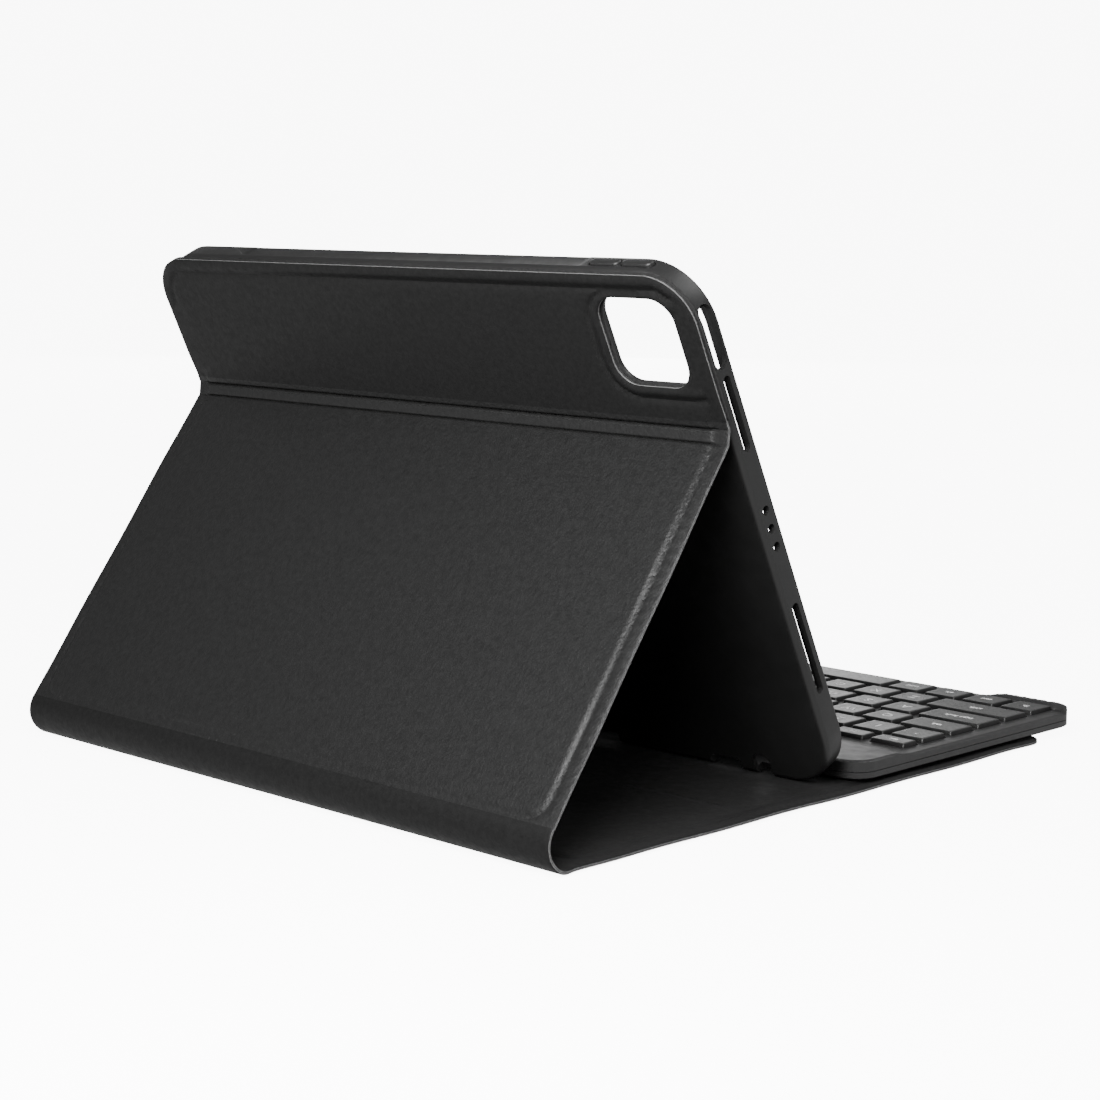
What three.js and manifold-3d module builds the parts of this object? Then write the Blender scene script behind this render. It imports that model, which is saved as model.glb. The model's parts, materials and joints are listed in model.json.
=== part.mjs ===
// Folio keyboard case for an 11 inch tablet, stood up as a desk stand.
// Units are millimetres. +Z is up, X runs across the case and the typist sits on the -Y side.
// The leather folio is a chain of panels: base, two spine strips, prop panel, and the tray with its flap.
// Each link of that chain is a nested group whose origin lies on its hinge line, and in each of them
// +Y runs along the chain, +Z faces the inside of the folio and -Z the leather outside.
import * as THREE from "three";
import { mergeVertices } from "three/addons/utils/BufferGeometryUtils.js";
import Module from "manifold-3d";

// Folio
const FOLIO_WIDTH = 254;
const BASE_LENGTH = 243;
const BASE_CORNER = 10;
const SPINE_LOWER_LENGTH = 8.7;
const SPINE_UPPER_LENGTH = 9;
const PROP_LENGTH = 129;
const PANEL_OUTER = -1.15;
const PANEL_INNER = 1.25;
const COVER_THICKNESS = 0.75;
const LINING_THICKNESS = 0.5;
const LAYER_GAP = 0.1;
const BOARD_MARGIN = 6;
const LINING_MARGIN = 1;
const SPINE_HALF_THICKNESS = 0.65;
const PANEL_HINGE_CLEARANCE = 2;
const SPINE_HINGE_CLEARANCE = 1.2;

// Lean of each link above the table, in degrees
const SPINE_LOWER_LEAN = 22.7;
const SPINE_UPPER_LEAN = 93.8;
const PROP_LEAN = 125.4;
const TRAY_LEAN = 64.4;

// Tray, measured up from its bottom edge and forwards from its back
const TRAY_WIDTH = 252;
const TRAY_HEIGHT = 184;
const TRAY_DEPTH = 9;
const TRAY_CORNER = 20;
const TRAY_EDGE_ROUND = 1.5;
const TRAY_BACK_OFFSET = 1.55;
const TRAY_FLOOR_CLEARANCE = 0.3;
const POCKET_WIDTH = 248.2;
const POCKET_HEIGHT = 179.2;
const POCKET_FRONT = 7.7;
const BACK_WALL = 1.4;
const LIP_WIDTH = 2.6;
const CAMERA_CENTRE_X = -103.8;
const CAMERA_CENTRE_UP = 161;
const CAMERA_WINDOW = 30;
const CAMERA_CORNER = 7;
const FLAP_START = 2.1;
const FLAP_TOP_INSET = 0.6;
const FLAP_CORNER = 16;
const PENCIL_RECESS_DEPTH = 0.5;
const PENCIL_RECESS_BACK = 2.4;
const VOLUME_BUTTON_STARTS = [-97.7, -110.7];
const VOLUME_BUTTON_LENGTH = 12;
const VOLUME_BUTTON_NAMES = ["volume_up_button", "volume_down_button"];

// Keyboard, with y from its front edge and z from its underside
const KEYBOARD_WIDTH = 250;
const KEYBOARD_DEPTH = 129;
const KEYBOARD_CORNER = 9;
const KEYBOARD_REAR_Y = -135.5;
const FOOT_HEIGHT = 0.5;
const FLOOR_TOP = 1;
const PARTING_HEIGHT = 2.7;
const SEAM_GAP = 0.1;
const SIDE_WALL = 1.6;
const DECK_UNDERSIDE = 4.4;
const DECK_TOP = 5.2;
const LEDGE_TOP = 6.2;
const LEDGE_DEPTH = 25;
const FRONT_LIP_DEPTH = 4.6;
const FRONT_LIP_LENGTH = 30;
const PORT_X = 60;
const SWITCH_X = 90;
const LED_X = 104;
const LED_FROM_REAR = 12;
const MAGNET_X = 106;
const MAGNET_LENGTH = 14;
const MAGNET_DEPTH = 8;
const FOOT_LENGTH = 20;
const FOOT_DEPTH = 6;
const FOOT_X = 95;

// Keys
const KEY_UNIT = 16.5;
const KEY_GAP = 2.8;
const KEY_ROW_PITCH = 16.4;
const KEY_ROWS_FRONT = 5.4;
const FUNCTION_KEY_DEPTH = 8;
const ROW_UNITS = 14.5;
const KEY_TOP = 6.6;
const KEY_SKIRT_BOTTOM = 3.85;
const KEY_WEB_THICKNESS = 0.45;
const KEY_TAPER = 0.5;
const KEY_HOLE_CLEARANCE = 0.35;

const wasm = await Module();
wasm.setup();

const radians = THREE.MathUtils.degToRad;

function finish(color, roughness, metalness) {
  return new THREE.MeshStandardMaterial({ color, roughness, metalness });
}

const materials = {
  leather: finish(0x2b2b2d, 0.62, 0),
  lining: finish(0x2f2f31, 0.85, 0),
  board: finish(0x6d665c, 0.9, 0),
  softTouch: finish(0x232324, 0.55, 0),
  housing: finish(0x2d2d2f, 0.5, 0),
  keycap: finish(0x1c1c1e, 0.45, 0),
  steel: finish(0x9a9da1, 0.35, 1),
  magnet: finish(0x8d8f93, 0.3, 1),
  membrane: finish(0x3f5a46, 0.5, 0),
  circuit: finish(0x1f4a33, 0.5, 0),
  cell: finish(0xb8bcc2, 0.45, 0.4),
  rubber: finish(0x151515, 0.9, 0),
  lens: finish(0xdfe6ea, 0.2, 0),
};

// Geometry helpers

// Rounded rectangle; corner radii run from (x0, y0) round to (x1, y0), (x1, y1) and (x0, y1).
function outline(x0, y0, x1, y1, corners) {
  const [a, b, c, d] = Array.isArray(corners) ? corners : [corners, corners, corners, corners];
  const shape = new THREE.Shape();
  shape.moveTo(x0 + a, y0);
  shape.lineTo(x1 - b, y0);
  if (b > 0) shape.absarc(x1 - b, y0 + b, b, -Math.PI / 2, 0, false);
  shape.lineTo(x1, y1 - c);
  if (c > 0) shape.absarc(x1 - c, y1 - c, c, 0, Math.PI / 2, false);
  shape.lineTo(x0 + d, y1);
  if (d > 0) shape.absarc(x0 + d, y1 - d, d, Math.PI / 2, Math.PI, false);
  shape.lineTo(x0, y0 + a);
  if (a > 0) shape.absarc(x0 + a, y0 + a, a, Math.PI, Math.PI * 1.5, false);
  return shape;
}

function centred(width, y0, y1, corners) {
  return outline(-width / 2, y0, width / 2, y1, corners);
}

function prism(shape, z0, z1, curveSegments = 5) {
  const options = { depth: z1 - z0, bevelEnabled: false, curveSegments };
  return new THREE.ExtrudeGeometry(shape, options).translate(0, 0, z0);
}

function block(x0, x1, y0, y1, z0, z1) {
  const geometry = new THREE.BoxGeometry(x1 - x0, y1 - y0, z1 - z0);
  return geometry.translate((x0 + x1) / 2, (y0 + y1) / 2, (z0 + z1) / 2);
}

// A slot cut through a side wall: it spans u0 to u1 up the wall, w0 to w1 forwards and x0 to x1 across.
function sideSlot(x0, x1, u0, u1, w0, w1) {
  const round = Math.min(u1 - u0, w1 - w0) / 2 - 0.01;
  const turned = new THREE.Matrix4().makeBasis(
    new THREE.Vector3(0, 1, 0),
    new THREE.Vector3(0, 0, 1),
    new THREE.Vector3(1, 0, 0),
  );
  return prism(outline(u0, w0, u1, w1, round), x0, x1, 3).applyMatrix4(turned);
}

function solid(geometry) {
  const bare = geometry.clone();
  bare.deleteAttribute("normal");
  bare.deleteAttribute("uv");
  const merged = mergeVertices(bare, 1e-4);
  const mesh = new wasm.Mesh({
    numProp: 3,
    vertProperties: new Float32Array(merged.attributes.position.array),
    triVerts: new Uint32Array(merged.index.array),
  });
  return new wasm.Manifold(mesh);
}

function joined(geometries) {
  return geometries.map(solid).reduce((whole, piece) => whole.add(piece));
}

function without(body, geometries) {
  return geometries.map(solid).reduce((whole, tool) => whole.subtract(tool), body);
}

function geometryOf(body) {
  const mesh = body.getMesh();
  const geometry = new THREE.BufferGeometry();
  geometry.setAttribute("position", new THREE.BufferAttribute(mesh.vertProperties, 3));
  geometry.setIndex(new THREE.BufferAttribute(mesh.triVerts, 1));
  geometry.computeVertexNormals();
  return geometry;
}

function addPart(group, name, shape, material) {
  const geometry = shape.isBufferGeometry ? shape : geometryOf(shape);
  const mesh = new THREE.Mesh(geometry, material);
  mesh.name = name;
  group.add(mesh);
  return mesh;
}

// A link of the folio chain, hinged at (0, y, z) of its parent and bent by an angle in degrees.
function link(parent, y, z, bend) {
  const group = new THREE.Group();
  group.position.set(0, y, z);
  group.rotation.x = radians(bend);
  parent.add(group);
  return group;
}

// One stiffened folio panel: leather outside, board core, lining inside.
function addPanel(group, name, y0, y1, corners, boardHoles = []) {
  const coverInner = PANEL_OUTER + COVER_THICKNESS;
  const liningOuter = PANEL_INNER - LINING_THICKNESS;
  const cover = centred(FOLIO_WIDTH, y0, y1, corners);
  const boardCorners = corners.map((r) => Math.max(r - BOARD_MARGIN, 3));
  const frontMargin = corners[0] > 0 ? BOARD_MARGIN : 1;
  const boardWidth = FOLIO_WIDTH - 2 * BOARD_MARGIN;
  const board = centred(boardWidth, y0 + frontMargin, y1 - 1, boardCorners);
  const liningCorners = corners.map((r) => Math.max(r - LINING_MARGIN, 0));
  const liningWidth = FOLIO_WIDTH - 2 * LINING_MARGIN;
  const lining = centred(liningWidth, y0 + LINING_MARGIN, y1, liningCorners);
  const core = solid(prism(board, coverInner + LAYER_GAP, liningOuter - LAYER_GAP));
  addPart(group, `${name}_cover`, prism(cover, PANEL_OUTER, coverInner), materials.leather);
  addPart(group, `${name}_board`, without(core, boardHoles), materials.board);
  addPart(group, `${name}_lining`, prism(lining, liningOuter, PANEL_INNER), materials.lining);
}

// Folio panels

function addBase(group) {
  const y = KEYBOARD_REAR_Y - LEDGE_DEPTH / 2;
  const z0 = PANEL_OUTER + COVER_THICKNESS + LAYER_GAP;
  const z1 = PANEL_INNER - LINING_THICKNESS - LAYER_GAP;
  const pockets = [-MAGNET_X, MAGNET_X].map((x) => magnet(x, y, 0.3, z0 - 1, z1 + 1));
  addPanel(group, "base", -BASE_LENGTH, -PANEL_HINGE_CLEARANCE, [BASE_CORNER, BASE_CORNER, 0, 0], pockets);
  addPart(group, "base_magnet_left", magnet(-MAGNET_X, y, 0, z0, z1), materials.magnet);
  addPart(group, "base_magnet_right", magnet(MAGNET_X, y, 0, z0, z1), materials.magnet);
}

// A bar magnet centred at x and y, or the pocket for one when it is grown on all sides.
function magnet(x, y, grow, z0, z1) {
  const halfLength = MAGNET_LENGTH / 2 + grow;
  const halfDepth = MAGNET_DEPTH / 2 + grow;
  return block(x - halfLength, x + halfLength, y - halfDepth, y + halfDepth, z0, z1);
}

function addSpineStrip(group, name, length) {
  const shape = centred(FOLIO_WIDTH, SPINE_HINGE_CLEARANCE, length - SPINE_HINGE_CLEARANCE, 0);
  addPart(group, name, prism(shape, -SPINE_HALF_THICKNESS, SPINE_HALF_THICKNESS), materials.leather);
}

function addProp(group) {
  addPanel(group, "prop", PANEL_HINGE_CLEARANCE, PROP_LENGTH - PANEL_HINGE_CLEARANCE, [0, 0, 0, 0]);
}

// The flap is glued to the tray's upper back and has the camera window cut through it.
function addFlap(group, trayBelowFold) {
  const top = TRAY_HEIGHT - FLAP_TOP_INSET - trayBelowFold;
  const cameraY = CAMERA_CENTRE_UP - trayBelowFold;
  const coverInner = PANEL_OUTER + COVER_THICKNESS;
  const window = cameraCut(cameraY, CAMERA_WINDOW, CAMERA_CORNER, -5, 5);
  const boardWindow = cameraCut(cameraY, CAMERA_WINDOW + 3, CAMERA_CORNER + 1.5, -5, 5);
  const coverShape = centred(FOLIO_WIDTH, FLAP_START, top, [0, 0, FLAP_CORNER, FLAP_CORNER]);
  const cover = prism(coverShape, PANEL_OUTER, coverInner);
  const boardShape = centred(
    FOLIO_WIDTH - 2 * BOARD_MARGIN, FLAP_START + 1, top - BOARD_MARGIN + 2,
    [1, 1, FLAP_CORNER - 4, FLAP_CORNER - 4],
  );
  const board = prism(boardShape, coverInner + LAYER_GAP, PANEL_INNER);
  addPart(group, "flap_cover", without(solid(cover), [window]), materials.leather);
  addPart(group, "flap_board", without(solid(board), [boardWindow]), materials.board);
  const strip = prism(centred(FOLIO_WIDTH - 2, -1.6, FLAP_START - 0.3, 0), -0.5, PANEL_INNER);
  addPart(group, "hinge_strip", strip, materials.leather);
}

function cameraCut(y, side, corner, z0, z1) {
  const x0 = CAMERA_CENTRE_X - side / 2;
  return prism(outline(x0, y - side / 2, x0 + side, y + side / 2, corner), z0, z1, 3);
}

// Tray: x across, y up from the bottom edge, z forwards from the back.

function addTray(group) {
  const inset = TRAY_EDGE_ROUND;
  const rim = outline(
    -TRAY_WIDTH / 2 + inset, inset, TRAY_WIDTH / 2 - inset, TRAY_HEIGHT - inset, TRAY_CORNER - inset,
  );
  const shell = new THREE.ExtrudeGeometry(rim, {
    depth: TRAY_DEPTH - 2 * inset,
    bevelThickness: inset,
    bevelSize: inset,
    bevelSegments: 2,
    curveSegments: 6,
  }).translate(0, 0, inset);
  const sideWall = (TRAY_HEIGHT - POCKET_HEIGHT) / 2;
  const pocketTop = TRAY_HEIGHT - sideWall;
  const pocketCorner = TRAY_CORNER - 2;
  const screenWidth = POCKET_WIDTH - 2 * LIP_WIDTH;
  const pocket = prism(centred(POCKET_WIDTH, sideWall, pocketTop, pocketCorner), BACK_WALL, POCKET_FRONT, 6);
  const screen = prism(
    centred(screenWidth, sideWall + LIP_WIDTH, pocketTop - LIP_WIDTH, pocketCorner - LIP_WIDTH),
    POCKET_FRONT - 1, TRAY_DEPTH + 1, 6,
  );
  const cuts = [pocket, screen, ...backCuts(), ...leftSideCuts(), ...rightSideCuts(), ...topCuts()];
  addPart(group, "tray_shell", without(solid(shell), cuts), materials.softTouch);
  addVolumeButtons(group);
}

// The camera window, the two openings along the bottom edge and the half-round notch beside them.
function backCuts() {
  return [
    cameraCut(CAMERA_CENTRE_UP, CAMERA_WINDOW, CAMERA_CORNER, -1, BACK_WALL + 1),
    block(-31.5, 31.5, -1, 4.8, -1, 6.6),
    block(-86, -72.6, -1, 4.5, -1, 6.6),
    prism(outline(-99, -4, -92, 8.6, [0, 0, 3.4, 3.4]), -1, 3.6, 3),
  ];
}

// The wall at the typist's left, beside the camera: power button, speakers and microphones.
function leftSideCuts() {
  const outer = -TRAY_WIDTH / 2 - 1;
  const inner = -POCKET_WIDTH / 2 + 1;
  const microphones = [-6.4, 0, 6.4].map((offset) => {
    const up = 95 + offset;
    return sideSlot(outer, inner, up - 1.5, up + 1.5, 2.9, 5.9);
  });
  return [
    sideSlot(outer, inner, 150, 171, 1.7, 7.3),
    sideSlot(outer, -TRAY_WIDTH / 2 + 0.8, 147, 174, 0.9, 8),
    sideSlot(outer, inner, 122, 147.5, 3, 6),
    sideSlot(outer, inner, 35, 68, 3, 6),
    ...microphones,
  ];
}

// The wall at the typist's right: the charging opening between two speaker slots.
function rightSideCuts() {
  const inner = POCKET_WIDTH / 2 - 1;
  const outer = TRAY_WIDTH / 2 + 1;
  return [
    sideSlot(inner, outer, 85, 99, 1.7, 7.3),
    sideSlot(inner, outer, 116, 149, 3, 6),
    sideSlot(inner, outer, 35, 68, 3, 6),
  ];
}

// The top wall: a shallow recess where the pencil charges, and a window for each volume button.
function topCuts() {
  const wallBottom = TRAY_HEIGHT - 5.5;
  const above = TRAY_HEIGHT + 1;
  const recessFloor = TRAY_HEIGHT - PENCIL_RECESS_DEPTH;
  const cuts = [block(-81.6, 77.7, recessFloor, above, PENCIL_RECESS_BACK, TRAY_DEPTH + 1)];
  for (const start of VOLUME_BUTTON_STARTS) {
    const end = start + VOLUME_BUTTON_LENGTH;
    cuts.push(block(start - 0.3, end + 0.3, wallBottom + 1, above, 2.3, 6.7));
  }
  return cuts;
}

function addVolumeButtons(group) {
  VOLUME_BUTTON_STARTS.forEach((start, index) => {
    const shape = outline(start, 2.6, start + VOLUME_BUTTON_LENGTH, 6.4, 1.6);
    const upright = new THREE.Matrix4().makeRotationX(Math.PI / 2);
    const button = prism(shape, -(TRAY_HEIGHT + 0.8), -(TRAY_HEIGHT - 2.2), 3).applyMatrix4(upright);
    addPart(group, VOLUME_BUTTON_NAMES[index], button, materials.softTouch);
  });
}

// Keyboard: y from its front edge, z from its underside.

function keyboardOutline(inset) {
  return centred(
    KEYBOARD_WIDTH - 2 * inset, inset, KEYBOARD_DEPTH - inset, KEYBOARD_CORNER - inset,
  );
}

function addKeyboardHousing(group, keys) {
  const shellTop = PARTING_HEIGHT - SEAM_GAP / 2;
  const frameBottom = PARTING_HEIGHT + SEAM_GAP / 2;
  const rear = KEYBOARD_DEPTH;
  const portCut = block(PORT_X - 5.2, PORT_X + 5.2, rear - 4, rear + 1, 1.3, 4.3);
  const switchCut = block(SWITCH_X - 4.6, SWITCH_X + 4.6, rear - 4, rear + 1, 1.4, 3.8);
  const cavity = prism(keyboardOutline(SIDE_WALL), FLOOR_TOP, PARTING_HEIGHT + 1);
  const bottom = solid(prism(keyboardOutline(0), 0, shellTop));
  addPart(group, "keyboard_bottom_cover", without(bottom, [cavity, portCut, switchCut]), materials.housing);

  const ledgeY = KEYBOARD_DEPTH - LEDGE_DEPTH;
  const wholeFrame = prism(keyboardOutline(0), frameBottom, LEDGE_TOP);
  const halfWidth = KEYBOARD_WIDTH / 2;
  const deckRelief = block(-halfWidth - 1, halfWidth + 1, FRONT_LIP_DEPTH, ledgeY, DECK_TOP, LEDGE_TOP + 1);
  const lipReach = halfWidth - FRONT_LIP_LENGTH;
  const frontRelief = block(-lipReach, lipReach, -1, FRONT_LIP_DEPTH + 1, DECK_TOP, LEDGE_TOP + 1);
  const underDeck = prism(keyboardOutline(SIDE_WALL), frameBottom - 1, DECK_UNDERSIDE);
  const ledDrill = new THREE.CylinderGeometry(1.1, 1.1, 6, 12).rotateX(Math.PI / 2);
  ledDrill.translate(LED_X, rear - LED_FROM_REAR, LEDGE_TOP - 1);
  const holes = keys.map((key) => block(
    key.x0 - KEY_HOLE_CLEARANCE, key.x1 + KEY_HOLE_CLEARANCE,
    key.y0 - KEY_HOLE_CLEARANCE, key.y1 + KEY_HOLE_CLEARANCE,
    DECK_UNDERSIDE - 1, DECK_TOP + 1,
  ));
  const cuts = [deckRelief, frontRelief, underDeck, ledDrill, portCut, switchCut, ...holes];
  addPart(group, "keyboard_top_frame", without(solid(wholeFrame), cuts), materials.housing);

  const led = new THREE.CylinderGeometry(0.9, 0.9, 1.6, 12).rotateX(Math.PI / 2);
  led.translate(LED_X, rear - LED_FROM_REAR, LEDGE_TOP - 0.8);
  addPart(group, "status_led", led, materials.lens);
}

function addKeyboardInsides(group) {
  const inset = SIDE_WALL + 1.2;
  const left = -KEYBOARD_WIDTH / 2 + inset;
  const right = KEYBOARD_WIDTH / 2 - inset;
  const ledgeY = KEYBOARD_DEPTH - LEDGE_DEPTH;
  const rear = KEYBOARD_DEPTH;
  const keyField = outline(left, inset, right, ledgeY, [5, 5, 1, 1]);
  addPart(group, "key_backplate", prism(keyField, 1.35, 1.85, 3), materials.steel);
  addPart(group, "switch_membrane", prism(keyField, 1.95, 2.25, 3), materials.membrane);
  addPart(group, "battery", block(-95, -5, ledgeY + 2, rear - 6, 1.2, 4.1), materials.cell);
  addPart(group, "controller_board", block(5, 50, ledgeY + 2, rear - 6, 1.4, 2.4), materials.circuit);

  const port = block(PORT_X - 4.9, PORT_X + 4.9, rear - 8.5, rear - 0.4, 1.6, 4);
  const mouth = block(PORT_X - 4.2, PORT_X + 4.2, rear - 6.5, rear + 1, 2.1, 3.5);
  addPart(group, "charge_port", without(solid(port), [mouth]), materials.steel);

  const slider = block(SWITCH_X - 3.6, SWITCH_X + 0.9, rear - 3.6, rear - 0.2, 1.7, 3.5);
  const nub = block(SWITCH_X - 2.6, SWITCH_X - 0.1, rear - 1, rear + 0.8, 2, 3.2);
  addPart(group, "power_switch", joined([slider, nub]), materials.keycap);
}

function addKeyboardMagnets(group) {
  const y = KEYBOARD_DEPTH - LEDGE_DEPTH / 2;
  addPart(group, "keyboard_magnet_left", magnet(-MAGNET_X, y, 0, 1.2, 3.2), materials.magnet);
  addPart(group, "keyboard_magnet_right", magnet(MAGNET_X, y, 0, 1.2, 3.2), materials.magnet);
}

function addFeet(group) {
  const rows = [["front", 25], ["rear", KEYBOARD_DEPTH - 9]];
  const sides = [["left", -FOOT_X], ["right", FOOT_X]];
  for (const [row, y] of rows) {
    for (const [side, x] of sides) {
      const shape = centred(FOOT_LENGTH, y - FOOT_DEPTH / 2, y + FOOT_DEPTH / 2, FOOT_DEPTH / 2 - 0.1);
      const pad = prism(shape, -FOOT_HEIGHT, -0.05, 3).translate(x, 0, 0);
      addPart(group, `foot_${row}_${side}`, pad, materials.rubber);
    }
  }
}

// Keys

// One row from left to right: [name, width in key units] pairs; the name of a joined run starts with "-".
function keyRowPlaces(row, y0, y1) {
  const places = [];
  let x = -(ROW_UNITS * KEY_UNIT - KEY_GAP) / 2;
  for (const [name, units] of row) {
    const width = units * KEY_UNIT - KEY_GAP;
    places.push({ name, x0: x, x1: x + width, y0, y1 });
    x += width + KEY_GAP;
  }
  return places;
}

function run(name, count, units = 1) {
  return Array.from({ length: count }, () => [name, units]);
}

function keyPlaces() {
  const functionUnits = ROW_UNITS / 14;
  const bottomRow = [
    ...["fn_key", "control_key", "option_left_key", "command_left_key"].map((name) => [name, 1]),
    ["space_key", 5.5],
    ...["command_right_key", "option_right_key", "arrow_left_key", "arrow_pair", "arrow_right_key"]
      .map((name) => [name, 1]),
  ];
  const rows = [
    bottomRow,
    [["shift_left_key", 2.25], ...run("bottom_letter_keys", 10), ["shift_right_key", 2.25]],
    [["caps_lock_key", 1.75], ...run("home_letter_keys", 11), ["return_key", 1.75]],
    [["tab_key", 1.5], ...run("top_letter_keys", 12), ["backslash_key", 1]],
    [...run("number_keys", 13), ["delete_key", 1.5]],
    [["escape_key", functionUnits], ...run("function_keys", 12, functionUnits), ["lock_key", functionUnits]],
  ];
  const places = rows.flatMap((row, index) => {
    const y0 = KEY_ROWS_FRONT + index * KEY_ROW_PITCH;
    const depth = index === rows.length - 1 ? FUNCTION_KEY_DEPTH : KEY_ROW_PITCH - KEY_GAP;
    return keyRowPlaces(row, y0, y0 + depth);
  });
  return places.flatMap((key) => (key.name === "arrow_pair" ? splitArrowKeys(key) : [key]));
}

// The up and down arrow keys are two half-depth keys in one key's place.
function splitArrowKeys(key) {
  const half = (key.y1 - key.y0 - 1.4) / 2;
  return [
    { ...key, name: "arrow_down_key", y1: key.y0 + half },
    { ...key, name: "arrow_up_key", y0: key.y1 - half },
  ];
}

// A keycap: a box whose top is drawn in on all four sides.
function keycap(key) {
  const cap = block(key.x0, key.x1, key.y0, key.y1, KEY_SKIRT_BOTTOM, KEY_TOP);
  const position = cap.attributes.position;
  const midX = (key.x0 + key.x1) / 2;
  const midY = (key.y0 + key.y1) / 2;
  for (let i = 0; i < position.count; i += 1) {
    if (position.getZ(i) > KEY_SKIRT_BOTTOM + 1) {
      position.setX(i, position.getX(i) - Math.sign(position.getX(i) - midX) * KEY_TAPER);
      position.setY(i, position.getY(i) - Math.sign(position.getY(i) - midY) * KEY_TAPER);
    }
  }
  return cap;
}

// The letter, number and function keys of a row share one thin web under the deck.
function addKeys(group, keys) {
  const names = [...new Set(keys.map((key) => key.name))];
  for (const name of names) {
    const members = keys.filter((key) => key.name === name);
    const pieces = members.map(keycap);
    if (members.length > 1) {
      const midY = (members[0].y0 + members[0].y1) / 2;
      const webTop = KEY_SKIRT_BOTTOM + KEY_WEB_THICKNESS;
      const x0 = members[0].x0 + 1;
      const x1 = members.at(-1).x1 - 1;
      pieces.push(block(x0, x1, midY - 1.5, midY + 1.5, KEY_SKIRT_BOTTOM, webTop));
    }
    addPart(group, name, joined(pieces), materials.keycap);
  }
}

// Assembly

const model = new THREE.Group();
const folio = new THREE.Group();
model.add(folio);
addBase(folio);

const keyboard = new THREE.Group();
keyboard.position.set(0, KEYBOARD_REAR_Y - KEYBOARD_DEPTH, PANEL_INNER + LAYER_GAP + FOOT_HEIGHT);
folio.add(keyboard);
const keys = keyPlaces();
addKeyboardHousing(keyboard, keys);
addKeyboardInsides(keyboard);
addKeyboardMagnets(keyboard);
addFeet(keyboard);
addKeys(keyboard, keys);

const spineLower = link(folio, 0, 0, SPINE_LOWER_LEAN);
addSpineStrip(spineLower, "spine_lower", SPINE_LOWER_LENGTH);
const spineUpper = link(spineLower, SPINE_LOWER_LENGTH, 0, SPINE_UPPER_LEAN - SPINE_LOWER_LEAN);
addSpineStrip(spineUpper, "spine_upper", SPINE_UPPER_LENGTH);
const prop = link(spineUpper, SPINE_UPPER_LENGTH, 0, PROP_LEAN - SPINE_UPPER_LEAN);
addProp(prop);
const fold = link(prop, PROP_LENGTH, 0, TRAY_LEAN - PROP_LEAN);

// The tray reaches down from the fold until its lowest back edge stands just above the base lining.
const foldHeight = SPINE_LOWER_LENGTH * Math.sin(radians(SPINE_LOWER_LEAN))
  + SPINE_UPPER_LENGTH * Math.sin(radians(SPINE_UPPER_LEAN))
  + PROP_LENGTH * Math.sin(radians(PROP_LEAN));
const leanSine = Math.sin(radians(TRAY_LEAN));
const leanCosine = Math.cos(radians(TRAY_LEAN));
const roundRelief = TRAY_EDGE_ROUND * (leanSine + leanCosine - 1);
const backHeight = foldHeight + TRAY_BACK_OFFSET * leanCosine + roundRelief;
const trayBelowFold = (backHeight - PANEL_INNER - TRAY_FLOOR_CLEARANCE) / leanSine;
addFlap(fold, trayBelowFold);
const tray = link(fold, -trayBelowFold, TRAY_BACK_OFFSET, 0);
addTray(tray);

// The origin is the bottom centre of the standing case.
const bounds = new THREE.Box3().setFromObject(model, true);
const middle = bounds.getCenter(new THREE.Vector3());
folio.position.set(-middle.x, -middle.y, -bounds.min.z);

export default model;
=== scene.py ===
"""Looks of the tablet keyboard case, around the CAD frame: leather folio, soft tray, slim keyboard."""

import json
import math

import bmesh
import bpy
import numpy as np
from mathutils import Matrix, Vector
from mathutils.geometry import delaunay_2d_cdt


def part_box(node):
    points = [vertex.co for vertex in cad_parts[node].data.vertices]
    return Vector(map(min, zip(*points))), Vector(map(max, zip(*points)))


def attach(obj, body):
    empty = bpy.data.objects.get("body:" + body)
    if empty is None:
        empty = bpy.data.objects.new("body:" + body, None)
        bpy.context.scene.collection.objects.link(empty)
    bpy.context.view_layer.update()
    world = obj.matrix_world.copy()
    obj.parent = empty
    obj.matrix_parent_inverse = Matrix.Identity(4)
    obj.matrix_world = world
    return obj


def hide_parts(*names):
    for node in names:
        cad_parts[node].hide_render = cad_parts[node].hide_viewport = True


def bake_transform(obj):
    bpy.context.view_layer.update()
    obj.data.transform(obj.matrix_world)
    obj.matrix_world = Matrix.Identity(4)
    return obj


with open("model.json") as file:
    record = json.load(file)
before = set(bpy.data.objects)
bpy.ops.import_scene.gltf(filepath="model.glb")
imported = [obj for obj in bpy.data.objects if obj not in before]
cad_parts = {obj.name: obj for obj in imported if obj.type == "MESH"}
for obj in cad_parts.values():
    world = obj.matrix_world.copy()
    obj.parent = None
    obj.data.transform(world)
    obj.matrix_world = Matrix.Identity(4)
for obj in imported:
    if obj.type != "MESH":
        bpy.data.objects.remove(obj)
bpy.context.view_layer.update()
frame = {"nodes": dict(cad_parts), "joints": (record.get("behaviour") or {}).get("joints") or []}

# Sizes in millimetres, in the local frames described below.
MM = 0.001
FOLIO_WIDTH = 254
HALF_WIDTH = FOLIO_WIDTH / 2
BASE_LENGTH = 243
PROP_LENGTH = 129
SHEET_HALF = 0.65
OUTER_STEP = 0.5
INNER_STEP = 0.6
STEP_HALF = 1.1
PRESSED_LINE = 0.24
CREASE_DEPTH = 0.16
BOARD_MARGIN = 6
RUN_ON = 9
TRAY_LEAN = math.radians(64.4)
TRAY_BELOW_FOLD = 129.86
TRAY_BACK_OFFSET = 1.55
BEND_RADIUS = 7.95
TURN_COUNT = 48
FOLD_HALF = 2.8
FOLD_REACH = 5.6
TURN_HALF = 0.9
LOW_GROOVE_DEPTH, LOW_GROOVE_WIDTH = 0.62, 0.5
HIGH_GROOVE_DEPTH, HIGH_GROOVE_WIDTH = 0.78, 0.55


# ---- places

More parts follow.
